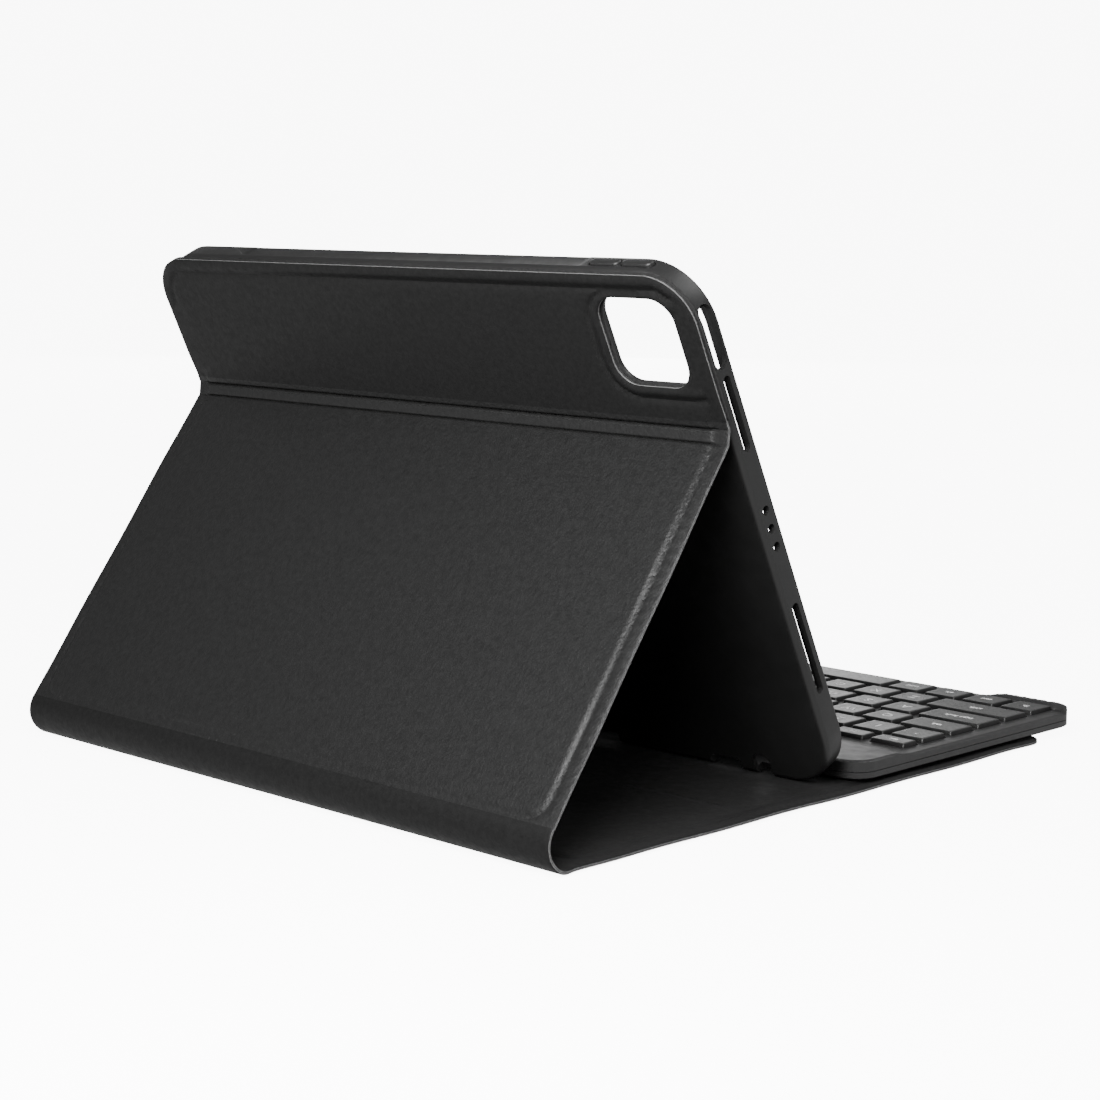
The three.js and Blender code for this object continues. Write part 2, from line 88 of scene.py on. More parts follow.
def place_at(origin, lean):
    """Local millimetres to the row frame: +Y runs along the folio, +Z faces its inside."""
    return Matrix.Translation(origin) @ Matrix.Rotation(lean, 4, "X") @ Matrix.Scale(MM, 4)


pivots = {j["name"]: Vector(j["pos_m"]) for j in frame["joints"] if j.get("pos_m")}
base_fold = pivots["stand_unfold"]
prop_fold = pivots["spine_prop_fold"]
tray_fold = pivots["prop_tray_fold"]
PROP_LEAN = math.atan2(tray_fold.z - prop_fold.z, tray_fold.y - prop_fold.y)

base_place = place_at(base_fold, 0)
prop_place = place_at(prop_fold, PROP_LEAN)
flap_place = place_at(tray_fold, TRAY_LEAN)
tray_place = flap_place @ Matrix.Translation((0, -TRAY_BELOW_FOLD, TRAY_BACK_OFFSET))
keyboard_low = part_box("keyboard_bottom_cover")[0]
keyboard_place = Matrix.Translation((0, keyboard_low.y, keyboard_low.z)) @ Matrix.Scale(MM, 4)


# ---- mesh helpers

def smooth(a, b, v):
    t = np.clip((np.asarray(v, float) - a) / (b - a), 0, 1)
    return t * t * (3 - 2 * t)


def bump_at(v, centre, width):
    return np.exp(-(((np.asarray(v, float) - centre) / width) ** 2))


def between(a, b, step):
    """Points strictly between a and b, about a step apart."""
    a, b = np.array(a, float), np.array(b, float)
    count = int(round(np.linalg.norm(b - a) / step))
    return [tuple(a + (b - a) * k / count) for k in range(1, count)] if count > 1 else []


def corner_bends(box, radii, arc):
    """The four rounded corners of a rectangle (x0, y0, x1, y1), anticlockwise from (x0, y0)."""
    x0, y0, x1, y1 = box
    corners = [(x0, y0, 1, 1, 2), (x1, y0, -1, 1, 3), (x1, y1, -1, -1, 0), (x0, y1, 1, -1, 1)]
    bends = []
    for (x, y, sx, sy, quarter), r in zip(corners, radii):
        turn = [(quarter + k / arc) * math.pi / 2 for k in range(arc + 1)]
        bend = [(x + sx * r + r * math.cos(t), y + sy * r + r * math.sin(t)) for t in turn]
        bends.append(bend if r > 0.01 else [(x, y)])
    return bends


def rounded_loop(box, radii, step=8.0, arc=8):
    """Points anticlockwise round a rectangle, about a step apart along its sides."""
    points = []
    for bend in corner_bends(box, radii, arc):
        if points:
            points += between(points[-1], bend[0], step)
        points += bend
    return points + between(points[-1], points[0], step)


def depth_inside(x, y, box, radii):
    """How far each point lies inside a rounded rectangle; negative outside."""
    x0, y0, x1, y1 = box
    cx, cy = (x0 + x1) / 2, (y0 + y1) / 2
    low_r = np.where(x < cx, radii[0], radii[1])
    high_r = np.where(x < cx, radii[3], radii[2])
    r = np.where(y < cy, low_r, high_r)
    qx = np.abs(x - cx) - (x1 - x0) / 2 + r
    qy = np.abs(y - cy) - (y1 - y0) / 2 + r
    return r - np.hypot(np.maximum(qx, 0), np.maximum(qy, 0)) - np.minimum(np.maximum(qx, qy), 0)


def shrink(box, radii, inset):
    x0, y0, x1, y1 = box
    return (x0 + inset, y0 + inset, x1 - inset, y1 - inset), [max(r - inset, 0) for r in radii]


def rings_inside(box, radii, insets, step):
    """Spare points on rings at these insets, for plates whose height changes near their edge."""
    points = []
    for inset in insets:
        points += rounded_loop(*shrink(box, radii, inset), step=step, arc=6)
    return points


def grid_inside(box, step, margin):
    xs = np.arange(box[0] + margin, box[2] - margin, step)
    ys = np.arange(box[1] + margin, box[3] - margin, step)
    return [(x, y) for x in xs for y in ys]


def within(points, loop):
    """Which points lie inside a closed loop."""
    x, y = points[:, 0], points[:, 1]
    inside = np.zeros(len(points), bool)
    for (ax, ay), (bx, by) in zip(loop, loop[1:] + loop[:1]):
        if ay != by:
            crosses = ((ay > y) != (by > y)) & (x < (bx - ax) * (y - ay) / (by - ay) + ax)
            inside ^= crosses
    return inside


def add_object(name, data):
    made = bpy.data.objects.new(name, data)
    bpy.context.scene.collection.objects.link(made)
    return made


def new_object(name, vertices, faces, place, materials, indices, sharp=35.0):
    mesh = bpy.data.meshes.new(name)
    mesh.from_pydata([tuple(v) for v in vertices], [], faces)
    mesh.transform(place)
    if place.determinant() < 0:
        mesh.flip_normals()
    for m in materials:
        mesh.materials.append(m)
    mesh.polygons.foreach_set("material_index", indices)
    mesh.polygons.foreach_set("use_smooth", [True] * len(mesh.polygons))
    mesh.validate()
    mesh.set_sharp_from_angle(angle=math.radians(sharp))
    return add_object(name, mesh)


def plate(name, loops, spare, top, bottom, place, walls, materials, sharp=35.0):
    """A closed slab over a flat outline with holes, between two height functions of x and y.

    loops: the outline first, then the holes, all anticlockwise. walls: (share of the height, inset)
    of each ring between bottom and top. Materials: top, bottom, and one for each strip of wall.
    """
    flat, edges, starts = [], [], []
    for loop in loops:
        starts.append(len(flat))
        edges += [(len(flat) + i, len(flat) + (i + 1) % len(loop)) for i in range(len(loop))]
        flat += loop
    found = delaunay_2d_cdt([Vector(p) for p in flat + spare], edges, [], 0, 1e-5)
    xy = np.array([(v.x, v.y) for v in found[0]])
    place_of = {i: out for out, ins in enumerate(found[3]) for i in ins}
    triangles = np.array(found[2])
    centres = xy[triangles].mean(1)
    kept = within(centres, loops[0])
    for hole in loops[1:]:
        kept &= ~within(centres, hole)
    triangles = triangles[kept]
    a, b, c = (xy[triangles[:, k]] for k in range(3))
    turned = (b - a)[:, 0] * (c - a)[:, 1] - (b - a)[:, 1] * (c - a)[:, 0] < 0
    triangles[turned] = triangles[turned][:, ::-1]
    used = np.unique(triangles)
    index = np.full(len(xy), -1)
    index[used] = np.arange(len(used))
    x, y = xy[used, 0], xy[used, 1]
    z_top, z_bottom = top(x, y), bottom(x, y)
    count = len(used)
    vertices = list(zip(x, y, z_top)) + list(zip(x, y, z_bottom))
    faces = [tuple(index[t]) for t in triangles]
    kinds = [0] * len(faces)
    faces += [tuple(index[t[::-1]] + count) for t in triangles]
    kinds += [1] * len(triangles)
    for start, loop in zip(starts, loops):
        ids = [index[place_of[start + i]] for i in range(len(loop))]
        points = xy[used][ids]
        along = np.roll(points, -1, 0) - np.roll(points, 1, 0)
        along /= np.linalg.norm(along, axis=1)[:, None]
        side = -1 if start else 1
        inward = np.stack([-along[:, 1], along[:, 0]], 1) * side
        rings = [[i + count for i in ids]]
        for share, inset in walls:
            ring = len(vertices)
            z = z_bottom[ids] * (1 - share) + z_top[ids] * share
            vertices += list(zip(*(points + inward * inset).T, z))
            rings.append(list(range(ring, ring + len(ids))))
        rings.append(ids)
        for level, (lower, upper) in enumerate(zip(rings, rings[1:])):
            for i in range(len(ids)):
                j = (i + 1) % len(ids)
                quad = (lower[i], lower[j], upper[j], upper[i])
                faces.append(quad if side > 0 else quad[::-1])
                kinds.append(min(2 + level, len(materials) - 1))
    return new_object(name, vertices, faces, place, materials, kinds, sharp)


def loft(name, rings, place, materials, kinds, sharp=35.0):
    """Closed skin through rings of equal length, with a face over the first and the last ring."""
    count = len(rings[0])
    vertices = [v for ring in rings for v in ring]
    faces, indices = [tuple(reversed(range(count)))], [kinds[0]]
    for k in range(len(rings) - 1):
        for i in range(count):
            j = (i + 1) % count
            faces.append((k * count + i, k * count + j, (k + 1) * count + j, (k + 1) * count + i))
            indices.append(kinds[min(k, len(kinds) - 1)])
    faces.append(tuple(range((len(rings) - 1) * count, len(rings) * count)))
    indices.append(kinds[-1])
    return new_object(name, vertices, faces, place, materials, indices, sharp)


def join(name, objects):
    """One object from several meshes in the same frame."""
    merged = bmesh.new()
    for o in objects:
        merged.from_mesh(o.data)
    mesh = objects[0].data.copy()
    merged.to_mesh(mesh)
    merged.free()
    made = add_object(name, mesh)
    for o in objects:
        bpy.data.objects.remove(o)
    return made


def cut(body, cutters, sharp=35.0):
    """Takes the cutters out of a closed body."""
    for cutter in cutters:
        modifier = body.modifiers.new("cut", "BOOLEAN")
        modifier.operation = "DIFFERENCE"
        modifier.solver = "EXACT"
        modifier.object = cutter
    evaluated = body.evaluated_get(bpy.context.evaluated_depsgraph_get())
    mesh = bpy.data.meshes.new_from_object(evaluated)
    body.modifiers.clear()
    body.data = mesh
    mesh.set_sharp_from_angle(angle=math.radians(sharp))
    for cutter in cutters:
        bpy.data.objects.remove(cutter)
    return body


# ---- materials

def spread(tree, value, low, high, to_low, to_high):
    """The value, moved from one range to another."""
    made = tree.nodes.new("ShaderNodeMapRange")
    limits = {"From Min": low, "From Max": high, "To Min": to_low, "To Max": to_high}
    for key, limit in limits.items():
        made.inputs[key].default_value = limit
    tree.links.new(value, made.inputs["Value"])
    return made.outputs["Result"]


class Shader:
    """A material's node tree, with short ways to add what the materials share."""

    def __init__(self, name, roughness, specular, metallic=0.0):
        self.material = bpy.data.materials.new(name)
        self.material.use_nodes = True
        self.tree = self.material.node_tree
        self.shader = self.tree.nodes["Principled BSDF"]
        self.shader.inputs["Roughness"].default_value = roughness
        self.shader.inputs["Specular IOR Level"].default_value = specular
        self.shader.inputs["Metallic"].default_value = metallic
        self.place = self.tree.nodes.new("ShaderNodeTexCoord").outputs["Object"]
        self.height = None

    def node(self, kind, **values):
        made = self.tree.nodes.new(kind)
        for key, value in values.items():
            if key in made.inputs:
                made.inputs[key].default_value = value
            else:
                setattr(made, key, value)
        return made

    def link(self, a, b):
        self.tree.links.new(a, b)

    def stretched(self, scale):
        mapping = self.node("ShaderNodeMapping", Scale=scale)
        self.link(self.place, mapping.inputs["Vector"])
        return mapping.outputs["Vector"]

    def noise(self, scale, detail=3.0, rough=0.55, place=None):
        made = self.node("ShaderNodeTexNoise", Scale=scale, Detail=detail, Roughness=rough)
        self.link(place or self.place, made.inputs["Vector"])
        return made.outputs["Fac"]

    def cells(self, scale):
        made = self.node("ShaderNodeTexVoronoi", Scale=scale, feature="SMOOTH_F1")
        self.link(self.place, made.inputs["Vector"])
        return made.outputs["Distance"]

    def color(self, value, dark, light, low=0.35):
        """Blends two colours by a noise value between low and 1 - low."""
        value = spread(self.tree, value, low, 1 - low, 0, 1)
        made = self.node("ShaderNodeMix", data_type="RGBA")
        made.inputs[6].default_value = (*dark, 1)
        made.inputs[7].default_value = (*light, 1)
        self.link(value, made.inputs[0])
        self.link(made.outputs[2], self.shader.inputs["Base Color"])

    def roughen(self, value, low, high):
        self.link(spread(self.tree, value, 0.3, 0.7, low, high), self.shader.inputs["Roughness"])

    def bump(self, value, strength, distance):
        made = self.node("ShaderNodeBump", Strength=strength, Distance=distance)
        self.link(value, made.inputs["Height"])
        if self.height is not None:
            self.link(self.height, made.inputs["Normal"])
        self.height = made.outputs["Normal"]
        self.link(self.height, self.shader.inputs["Normal"])


def grey(value):
    return (value, value, value)


def leather_material(name, dark, light, grain, roughness, specular):
    s = Shader(name, roughness, specular)
    s.color(s.noise(600, 4), grey(dark), grey(light))
    s.bump(s.cells(1150), grain, 0.00016)
    s.bump(s.noise(5200, 2), grain * 0.5, 0.00008)
    s.bump(s.noise(120, 3), 0.05, 0.0006)
    s.roughen(s.noise(380, 3), roughness - 0.07, roughness + 0.07)
    return s.material


def lining_material():
    s = Shader("lining_suede", 0.62, 0.12)
    s.shader.inputs["Sheen Weight"].default_value = 0.03
    s.shader.inputs["Sheen Roughness"].default_value = 0.5
    s.color(s.noise(34, 4), grey(0.0075), grey(0.0105))
    s.bump(s.noise(3600, 3), 0.3, 0.00008)
    s.bump(s.noise(90, 3), 0.04, 0.0006)
    s.roughen(s.noise(240, 3), 0.5, 0.66)
    return s.material


def edge_material(name, dark, light):
    """Cut edge of the leather: pale compressed fibre with streaks along the sheet."""
    s = Shader(name, 0.75, 0.3)
    s.color(s.noise(900, 3), grey(dark), grey(light), 0.3)
    s.bump(s.noise(2600, 3), 0.35, 0.0001)
    return s.material


def soft_touch_material():
    s = Shader("tray_soft_touch", 0.42, 0.45)
    s.color(s.noise(18, 3), grey(0.009), grey(0.012))
    s.bump(s.noise(4200, 2), 0.18, 0.00006)
    s.bump(s.noise(60, 2), 0.06, 0.0006)
    s.roughen(s.noise(160, 3), 0.36, 0.46)
    return s.material


def housing_material():
    s = Shader("keyboard_housing", 0.42, 0.5)
    s.color(s.noise(22, 3), grey(0.014), grey(0.019))
    s.bump(s.cells(3400), 0.16, 0.00005)
    s.roughen(s.noise(200, 3), 0.36, 0.47)
    return s.material


def keycap_material(name, dark, light, roughness):
    s = Shader(name, roughness, 0.5)
    s.color(s.noise(300, 3), grey(dark), grey(light))
    s.bump(s.noise(5200, 2), 0.14, 0.00005)
    s.roughen(s.noise(700, 2), roughness - 0.05, roughness + 0.05)
    return s.material


def print_material():
    s = Shader("legend_print", 0.55, 0.4)
    s.color(s.noise(2600, 2), grey(0.75), grey(0.85), 0.3)
    return s.material


def metal_material(name, dark, light, roughness, streak):
    s = Shader(name, roughness, 0.5, 1.0)
    lines = s.noise(60, 4, 0.6, s.stretched(streak))
    s.color(lines, dark, light, 0.3)
    s.roughen(lines, roughness - 0.08, roughness + 0.1)
    s.bump(lines, 0.08, 0.0001)
    return s.material


def plain_material(name, dark, light, roughness, scale=400, specular=0.45):
    s = Shader(name, roughness, specular)
    s.color(s.noise(scale, 3), dark, light, 0.3)
    s.roughen(s.noise(scale * 2, 2), roughness - 0.06, roughness + 0.06)
    s.bump(s.noise(scale * 6, 2), 0.15, 0.00006)
    return s.material


leather = leather_material("leather_pebbled", 0.008, 0.0115, 0.8, 0.48, 0.3)
leather_smooth = leather_material("leather_flap", 0.0075, 0.0105, 0.26, 0.5, 0.17)
lining = lining_material()
edge_light = edge_material("leather_cut_edge", 0.09, 0.16)
edge_dark = edge_material("lining_cut_edge", 0.02, 0.035)
soft_touch = soft_touch_material()
housing = housing_material()
# Keycap tops and sides are copies of one plastic. The tops are painted lighter, a painted highlight for their
# sheen. The sides are painted much darker, painted shade between the keys.
key_top_painted_light = keycap_material("keycap_top_painted_light", 0.03, 0.037, 0.32)
key_side_painted_shade = keycap_material("keycap_side_painted_shade", 0.006, 0.009, 0.42)
legend = print_material()
steel = metal_material("brushed_steel", (0.42, 0.43, 0.45), (0.6, 0.61, 0.62), 0.34, (40, 2, 2))
magnet = metal_material("nickel_magnet", (0.5, 0.5, 0.51), (0.66, 0.66, 0.66), 0.26, (3, 3, 3))
membrane = plain_material("switch_film", (0.03, 0.075, 0.05), (0.05, 0.11, 0.07), 0.4)
circuit = plain_material("circuit_board", (0.008, 0.05, 0.028), (0.014, 0.08, 0.04), 0.45, 900)
cell = plain_material("battery_foil", (0.4, 0.42, 0.45), (0.55, 0.57, 0.6), 0.35, 150)
rubber = plain_material("foot_rubber", grey(0.008), grey(0.013), 0.85, 900, 0.25)
lens = plain_material("status_lens", (0.55, 0.6, 0.62), (0.75, 0.8, 0.82), 0.2, 500, 0.6)

NODE_MATERIALS = {
    steel: ["key_backplate", "charge_port"],
    magnet: ["base_magnet_left", "base_magnet_right", "keyboard_magnet_left", "keyboard_magnet_right"],
    membrane: ["switch_membrane"],
    circuit: ["controller_board"],
    cell: ["battery"],
    rubber: ["foot_front_left", "foot_front_right", "foot_rear_left", "foot_rear_right"],
    lens: ["status_led"],
    key_side_painted_shade: ["power_switch"],
}
for finish, names in NODE_MATERIALS.items():
    for node_name in names:
        for material_slot in frame["nodes"][node_name].material_slots:
            material_slot.material = finish


# ---- folio panels

# Rings of the sheet's cut edge, from the leather outside to the lining inside: (share of height, inset).
EDGE_RINGS = [(0.08, 0.0), (0.46, 0.0), (0.5, 0.2), (0.56, 0.2), (0.6, 0.06), (0.92, 0.06)]
EDGE_MATERIALS = [leather, edge_light, edge_dark, edge_dark, edge_dark, edge_light, lining]
PANEL_MATERIALS = [lining, leather, *EDGE_MATERIALS]


def edge_round(depth, size=0.5, drop=0.16):
    """How far the surface falls at the sheet's edge."""
    return drop * (1 - np.clip(depth / size, 0, 1)) ** 2


def side_step(x):
    """1 over the boards and 0 on the soft border along both sides."""
    board_edge = HALF_WIDTH - BOARD_MARGIN
    return smooth(board_edge + STEP_HALF, board_edge - STEP_HALF, np.abs(x))


def border_wave(x, y):
    """The soft border lies a little unevenly along the case's length."""
    return 0.16 * np.sin(y / 9.7 + np.sign(x)) + 0.12 * np.sin(y / 23 + 1.3 * np.sign(x))


def folio_panel(name, box, radii, board, board_radii, place, crease=None):
    """Sheet that is thicker over its board, with a soft border round it."""
    # The rear end runs on into a strip, so the edge is not rounded there.
    edge_box = (box[0], box[1], box[2], box[3] + RUN_ON)

    def step(x, y):
        return smooth(-STEP_HALF, STEP_HALF, depth_inside(x, y, board, board_radii))

    def flutter(x, y):
        open_edge = smooth(box[1] - 1, box[1] + 25, y) * smooth(box[3] + 1, box[3] - 25, y)
        return border_wave(x, y) * (1 - step(x, y)) * open_edge

    def inner(x, y):
        fall = edge_round(depth_inside(x, y, edge_box, radii))
        height = SHEET_HALF + INNER_STEP * step(x, y) + flutter(x, y) - fall
        if crease is not None:
            height = height - CREASE_DEPTH * bump_at(y, crease, 0.8)
        return height

    def outer(x, y):
        fall = edge_round(depth_inside(x, y, edge_box, radii))
        pressed = PRESSED_LINE * bump_at(depth_inside(x, y, board, board_radii), -1.2, 0.6)
        return -SHEET_HALF - OUTER_STEP * step(x, y) + pressed + flutter(x, y) + fall

    loop = rounded_loop(box, radii, 4.0, 10)
    board_insets = [-2.1, -1.6, -1.1, -0.7, -0.35, 0, 0.35, 0.7, 1.1, 3]
    spare = rings_inside(box, radii, [0.2, 0.55, 2.2, 4], 4.0)
    spare += rings_inside(board, board_radii, board_insets, 4.0)
    spare += grid_inside(board, 9.0, 8.0)
    if crease is not None:
        for offset in (-2, -1, -0.5, 0, 0.5, 1, 2):
            spare += between((board[0] + 3.5, crease + offset), (board[2] - 3.5, crease + offset), 6.0)
    points = np.array(spare)
    keep = within(points, loop) & (depth_inside(points[:, 0], points[:, 1], box, radii) > 0.1)
    return plate(
        name, [loop], [tuple(p) for p in points[keep]], inner, outer, place, EDGE_RINGS, PANEL_MATERIALS,
    )


BASE_END = -4.5
base_panel = folio_panel(
    "base_leather",
    (-HALF_WIDTH, -BASE_LENGTH, HALF_WIDTH, BASE_END), [10, 10, 0, 0],
    (-121, -BASE_LENGTH + 6, 121, -7), [5, 5, 5, 5],
    base_place, crease=-83,
)
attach(base_panel, "base")
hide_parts("base_cover", "base_board", "base_lining")

PROP_START = 0.8
PROP_END = PROP_LENGTH - FOLD_REACH
prop_panel = folio_panel(
    "prop_leather",
    (-HALF_WIDTH, PROP_START, HALF_WIDTH, PROP_END), [0, 0, 0, 0],
    (-121, 3.2, 121, PROP_LENGTH + 30), [5, 5, 5, 5],
    prop_place,
)
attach(prop_panel, "prop")
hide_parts("prop_cover", "prop_board", "prop_lining")


# ---- bending strips

def strip_columns():
    """Places across the folio, closer together near the soft border."""
    near = [127, 126.8, 126.45, 125, 123, 122.1, 121.7, 121.35, 121, 120.65, 120.3, 119.9, 118]
    inner = list(np.arange(110, 0, -10.0))
    half = near + inner
    return [-x for x in half] + [0] + half[::-1]


def strip(name, stations, outer, inner, finish):
    """A strip of the folio along stations of (y, z, angle, distance), given in row millimetres."""
    columns = np.array(strip_columns(), float)
    fall = edge_round(HALF_WIDTH - np.abs(columns))
    rings = []
    for y, z, angle, distance in stations:
        low = -outer(columns, distance) + fall
        high = inner(columns, distance) - fall
        section = [(x, n) for x, n in zip(columns, low)]
        section += [(HALF_WIDTH - inset, low[-1] * (1 - t) + high[-1] * t) for t, inset in EDGE_RINGS]
        section += [(x, n) for x, n in zip(columns[::-1], high[::-1])]
        section += [(inset - HALF_WIDTH, low[0] * (1 - t) + high[0] * t) for t, inset in EDGE_RINGS[::-1]]
        across, along = -math.sin(angle), math.cos(angle)
        rings.append([(x, y + across * n, z + along * n) for x, n in section])
    made = loft(name, rings, Matrix.Scale(MM, 4), [finish, lining, edge_light, edge_dark], [0])
    spans = len(columns) - 1
    edge_kinds = [0, 2, 3, 3, 3, 2, 1]
    ring_kinds = [0] * spans + edge_kinds + [1] * spans + edge_kinds[::-1]
    kinds = [0] + ring_kinds * (len(rings) - 1) + [0]
    made.data.polygons.foreach_set("material_index", kinds)
    return made


def spine_stations():
    """Centre line from the base, round the bend, into the prop panel."""
    start_y, start_z = base_fold.y / MM, base_fold.z / MM
    direction = Vector((math.cos(PROP_LEAN), math.sin(PROP_LEAN)))
    prop = Vector((prop_fold.y / MM, prop_fold.z / MM))
    corner = prop - direction * ((prop.y - start_z) / direction.y)
    tangent = BEND_RADIUS * math.tan(PROP_LEAN / 2)
    bend_start = corner.x - tangent
    stations = []
    first = start_y + BASE_END
    flat_count = 14
    for k in range(flat_count):
        y = first + (bend_start - first) * k / flat_count
        stations.append([y, start_z, 0.0])
    for k in range(TURN_COUNT + 1):
        a = PROP_LEAN * k / TURN_COUNT
        y = bend_start + BEND_RADIUS * math.sin(a)
        z = start_z + BEND_RADIUS * (1 - math.cos(a))
        stations.append([y, z, a])
    bend_end = corner + direction * tangent
    last = prop + direction * PROP_START
    for k in (1, 2):
        p = bend_end.lerp(last, k / 2)
        stations.append([p.x, p.y, PROP_LEAN])
    distance = 0.0
    result = []
    for k, (y, z, a) in enumerate(stations):
        if k:
            distance += math.hypot(y - stations[k - 1][0], z - stations[k - 1][1])
        result.append((y, z, a, distance))
    return result


spine = spine_stations()
bend_length = BEND_RADIUS * PROP_LEAN
bend_begin = next(s[3] for s in spine if s[2] > 0) - bend_length / TURN_COUNT


def sag(distance):
    """The spine settles onto the table just past the base's board."""
    return 0.38 * bump_at(distance, bend_begin + 1.5, 3.2)


spine = [(y, z - float(sag(d)), a, d) for y, z, a, d in spine]
lower_split = min(range(len(spine)), key=lambda k: abs(spine[k][3] - bend_begin - bend_length * 0.25))
upper_split = min(range(len(spine)), key=lambda k: abs(spine[k][3] - bend_begin - bend_length * 0.75))


def half_thickness(columns, distance):
    return np.full(len(columns), SHEET_HALF)


SPINE_PIECES = [
    ("spine_leather_base", 0, lower_split, "base", "spine_lower"),
    ("spine_leather_middle", lower_split, upper_split, "spine_lower", "spine_upper"),
    ("spine_leather_prop", upper_split, len(spine) - 1, "spine_upper", "prop"),
]
for piece_name, first, last, body_a, body_b in SPINE_PIECES:
    piece = strip(piece_name, spine[first:last + 1], half_thickness, half_thickness, leather_smooth)
    if piece_name == "spine_leather_base":
        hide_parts("spine_lower")
    if piece_name == "spine_leather_middle":
        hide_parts("spine_upper")
    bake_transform(piece)


# The fold between prop panel and flap: two pressed grooves with a flat band between them.

def fold_stations():
    """Centre line from the prop panel to the flap, and how far along it each groove lies."""
    fold = Vector((tray_fold.y / MM, tray_fold.z / MM))
    prop_way = Vector((math.cos(PROP_LEAN), math.sin(PROP_LEAN)))
    tray_way = Vector((math.cos(TRAY_LEAN), math.sin(TRAY_LEAN)))
    start = fold - prop_way * FOLD_REACH
    low = fold - prop_way * FOLD_HALF
    high = fold + tray_way * FOLD_HALF
    end = fold + tray_way * FOLD_REACH
    points, distance = [], 0.0
    for a, b, count in ((start, low, 12), (low, high, 22), (high, end, 12)):
        length = (b - a).length
        for k in range(count):
            p = a.lerp(b, k / count)
            points.append((p.x, p.y, distance + length * (k / count)))
        distance += length
    points.append((end.x, end.y, distance))
    low_at = (low - start).length
    high_at = distance - (end - high).length
    middle_lean = (PROP_LEAN + TRAY_LEAN) / 2
    stations = []
    for y, z, along in points:
        past_low = float(smooth(low_at - TURN_HALF, low_at + TURN_HALF, along))
        past_high = float(smooth(high_at - TURN_HALF, high_at + TURN_HALF, along))
        lean = PROP_LEAN + (middle_lean - PROP_LEAN) * past_low + (TRAY_LEAN - middle_lean) * past_high
        stations.append((y, z, lean, along))
    return stations, low_at, high_at


fold_line, groove_low, groove_high = fold_stations()


def fold_outer(columns, distance):
    grooves = LOW_GROOVE_DEPTH * bump_at(distance, groove_low, LOW_GROOVE_WIDTH)
    grooves += HIGH_GROOVE_DEPTH * bump_at(distance, groove_high, HIGH_GROOVE_WIDTH)
    board = side_step(columns)
    return SHEET_HALF + OUTER_STEP * board - grooves * smooth(125.5, 119, np.abs(columns))


def fold_inner(columns, distance):
    from_prop = smooth(2.0, 0.0, distance)
    return SHEET_HALF + INNER_STEP * side_step(columns) * from_prop


fold_strip = strip("fold_strip_leather", fold_line, fold_outer, fold_inner, leather)
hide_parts("hinge_strip")
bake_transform(fold_strip)


# ---- flap

FLAP_TOP = 183.4 - TRAY_BELOW_FOLD
FLAP_BOX = (-HALF_WIDTH, FOLD_REACH, HALF_WIDTH, FLAP_TOP)
FLAP_RADII = [0, 0, 16, 16]
CAMERA_UP = 161
CAMERA_Y = CAMERA_UP - TRAY_BELOW_FOLD
CAMERA_X = -103.8
CAMERA_HALF = 15
WINDOW_BOX = (
    CAMERA_X - CAMERA_HALF, CAMERA_Y - CAMERA_HALF, CAMERA_X + CAMERA_HALF, CAMERA_Y + CAMERA_HALF,
)
WINDOW_RADII = [8, 8, 8, 8]


def arc_points(cx, cy, r, a0, a1, count=8):
    turn = np.radians(np.linspace(a0, a1, count))
    return [(cx + r * math.cos(t), cy + r * math.sin(t)) for t in turn]


def border_groove():
    """Pressed line along the flap's far side and top border."""
    top = FLAP_TOP - 4.6
    bend = arc_points(110.4, top - 11, 11, 0, 90)
    return [(121.4, top - 14), *bend, (WINDOW_BOX[0] + 4, top), (WINDOW_BOX[0] - 1, top - 3)]


def window_groove():
    """Pressed line that hugs the camera window's top and runs wider round its side and bottom."""
    x0, y0, x1, y1 = WINDOW_BOX
    upper = arc_points(x1 - 7, y1 - 9.2, 11, 90, 0)
    lower = arc_points(x1 - 8, y0 + 8, 12, 0, -90)
    return [(x0 + 12, y1 + 1.8), *upper, *lower, (x0 + 1, y0 - 4), (x0 - 3, y0 - 3.6)]


border_line = border_groove()
window_line = window_groove()


def distance_to(path, x, y):
    nearest = np.full(len(x), 1e9)
    for (ax, ay), (bx, by) in zip(path, path[1:]):
        dx, dy = bx - ax, by - ay
        t = np.clip(((x - ax) * dx + (y - ay) * dy) / (dx * dx + dy * dy), 0, 1)
        nearest = np.minimum(nearest, np.hypot(x - ax - t * dx, y - ay - t * dy))
    return nearest


def flap_outer(x, y):
    """Leather over the flap's board, with pressed lines and a bead beyond them."""
    points = np.stack([x, y], 1)
    gap = np.minimum(distance_to(border_line, x, y), distance_to(window_line, x, y))
    far_left, far_right, far_up = -160, 160, 120
    above_border = border_line + [(far_left, border_line[-1][1]), (far_left, far_up)]
    above_border += [(far_right, far_up), (far_right, border_line[0][1])]
    round_window = window_line + [(WINDOW_BOX[0] - 3, WINDOW_BOX[3] + 1.8)]
    beyond = (within(points, above_border) | within(points, round_window)) * 1.0
    fade = smooth(121.5, 116, x) * 0.6 + 0.4
    bead = beyond * bump_at(gap, 2.4, 1.5) * 0.32
    pressed = 0.5 * bump_at(gap, 0, 0.85) + 0.14 * bump_at(gap, 0, 2.2)
    near_fold = smooth(16, FOLD_REACH, y)
    border = OUTER_STEP * (1 - side_step(x)) * (0.25 + 0.75 * near_fold)
    edge_box = (FLAP_BOX[0], -20, FLAP_BOX[2], FLAP_BOX[3])
    rim = edge_round(depth_inside(x, y, edge_box, FLAP_RADII), 1.3, 0.34)
    window = edge_round(-depth_inside(x, y, WINDOW_BOX, WINDOW_RADII), 1.5, 0.42)
    return -(1.15 - border - rim - window + (bead - pressed) * fade)


def flap_back(x, y):
    return np.full(len(x), TRAY_BACK_OFFSET - 0.06)


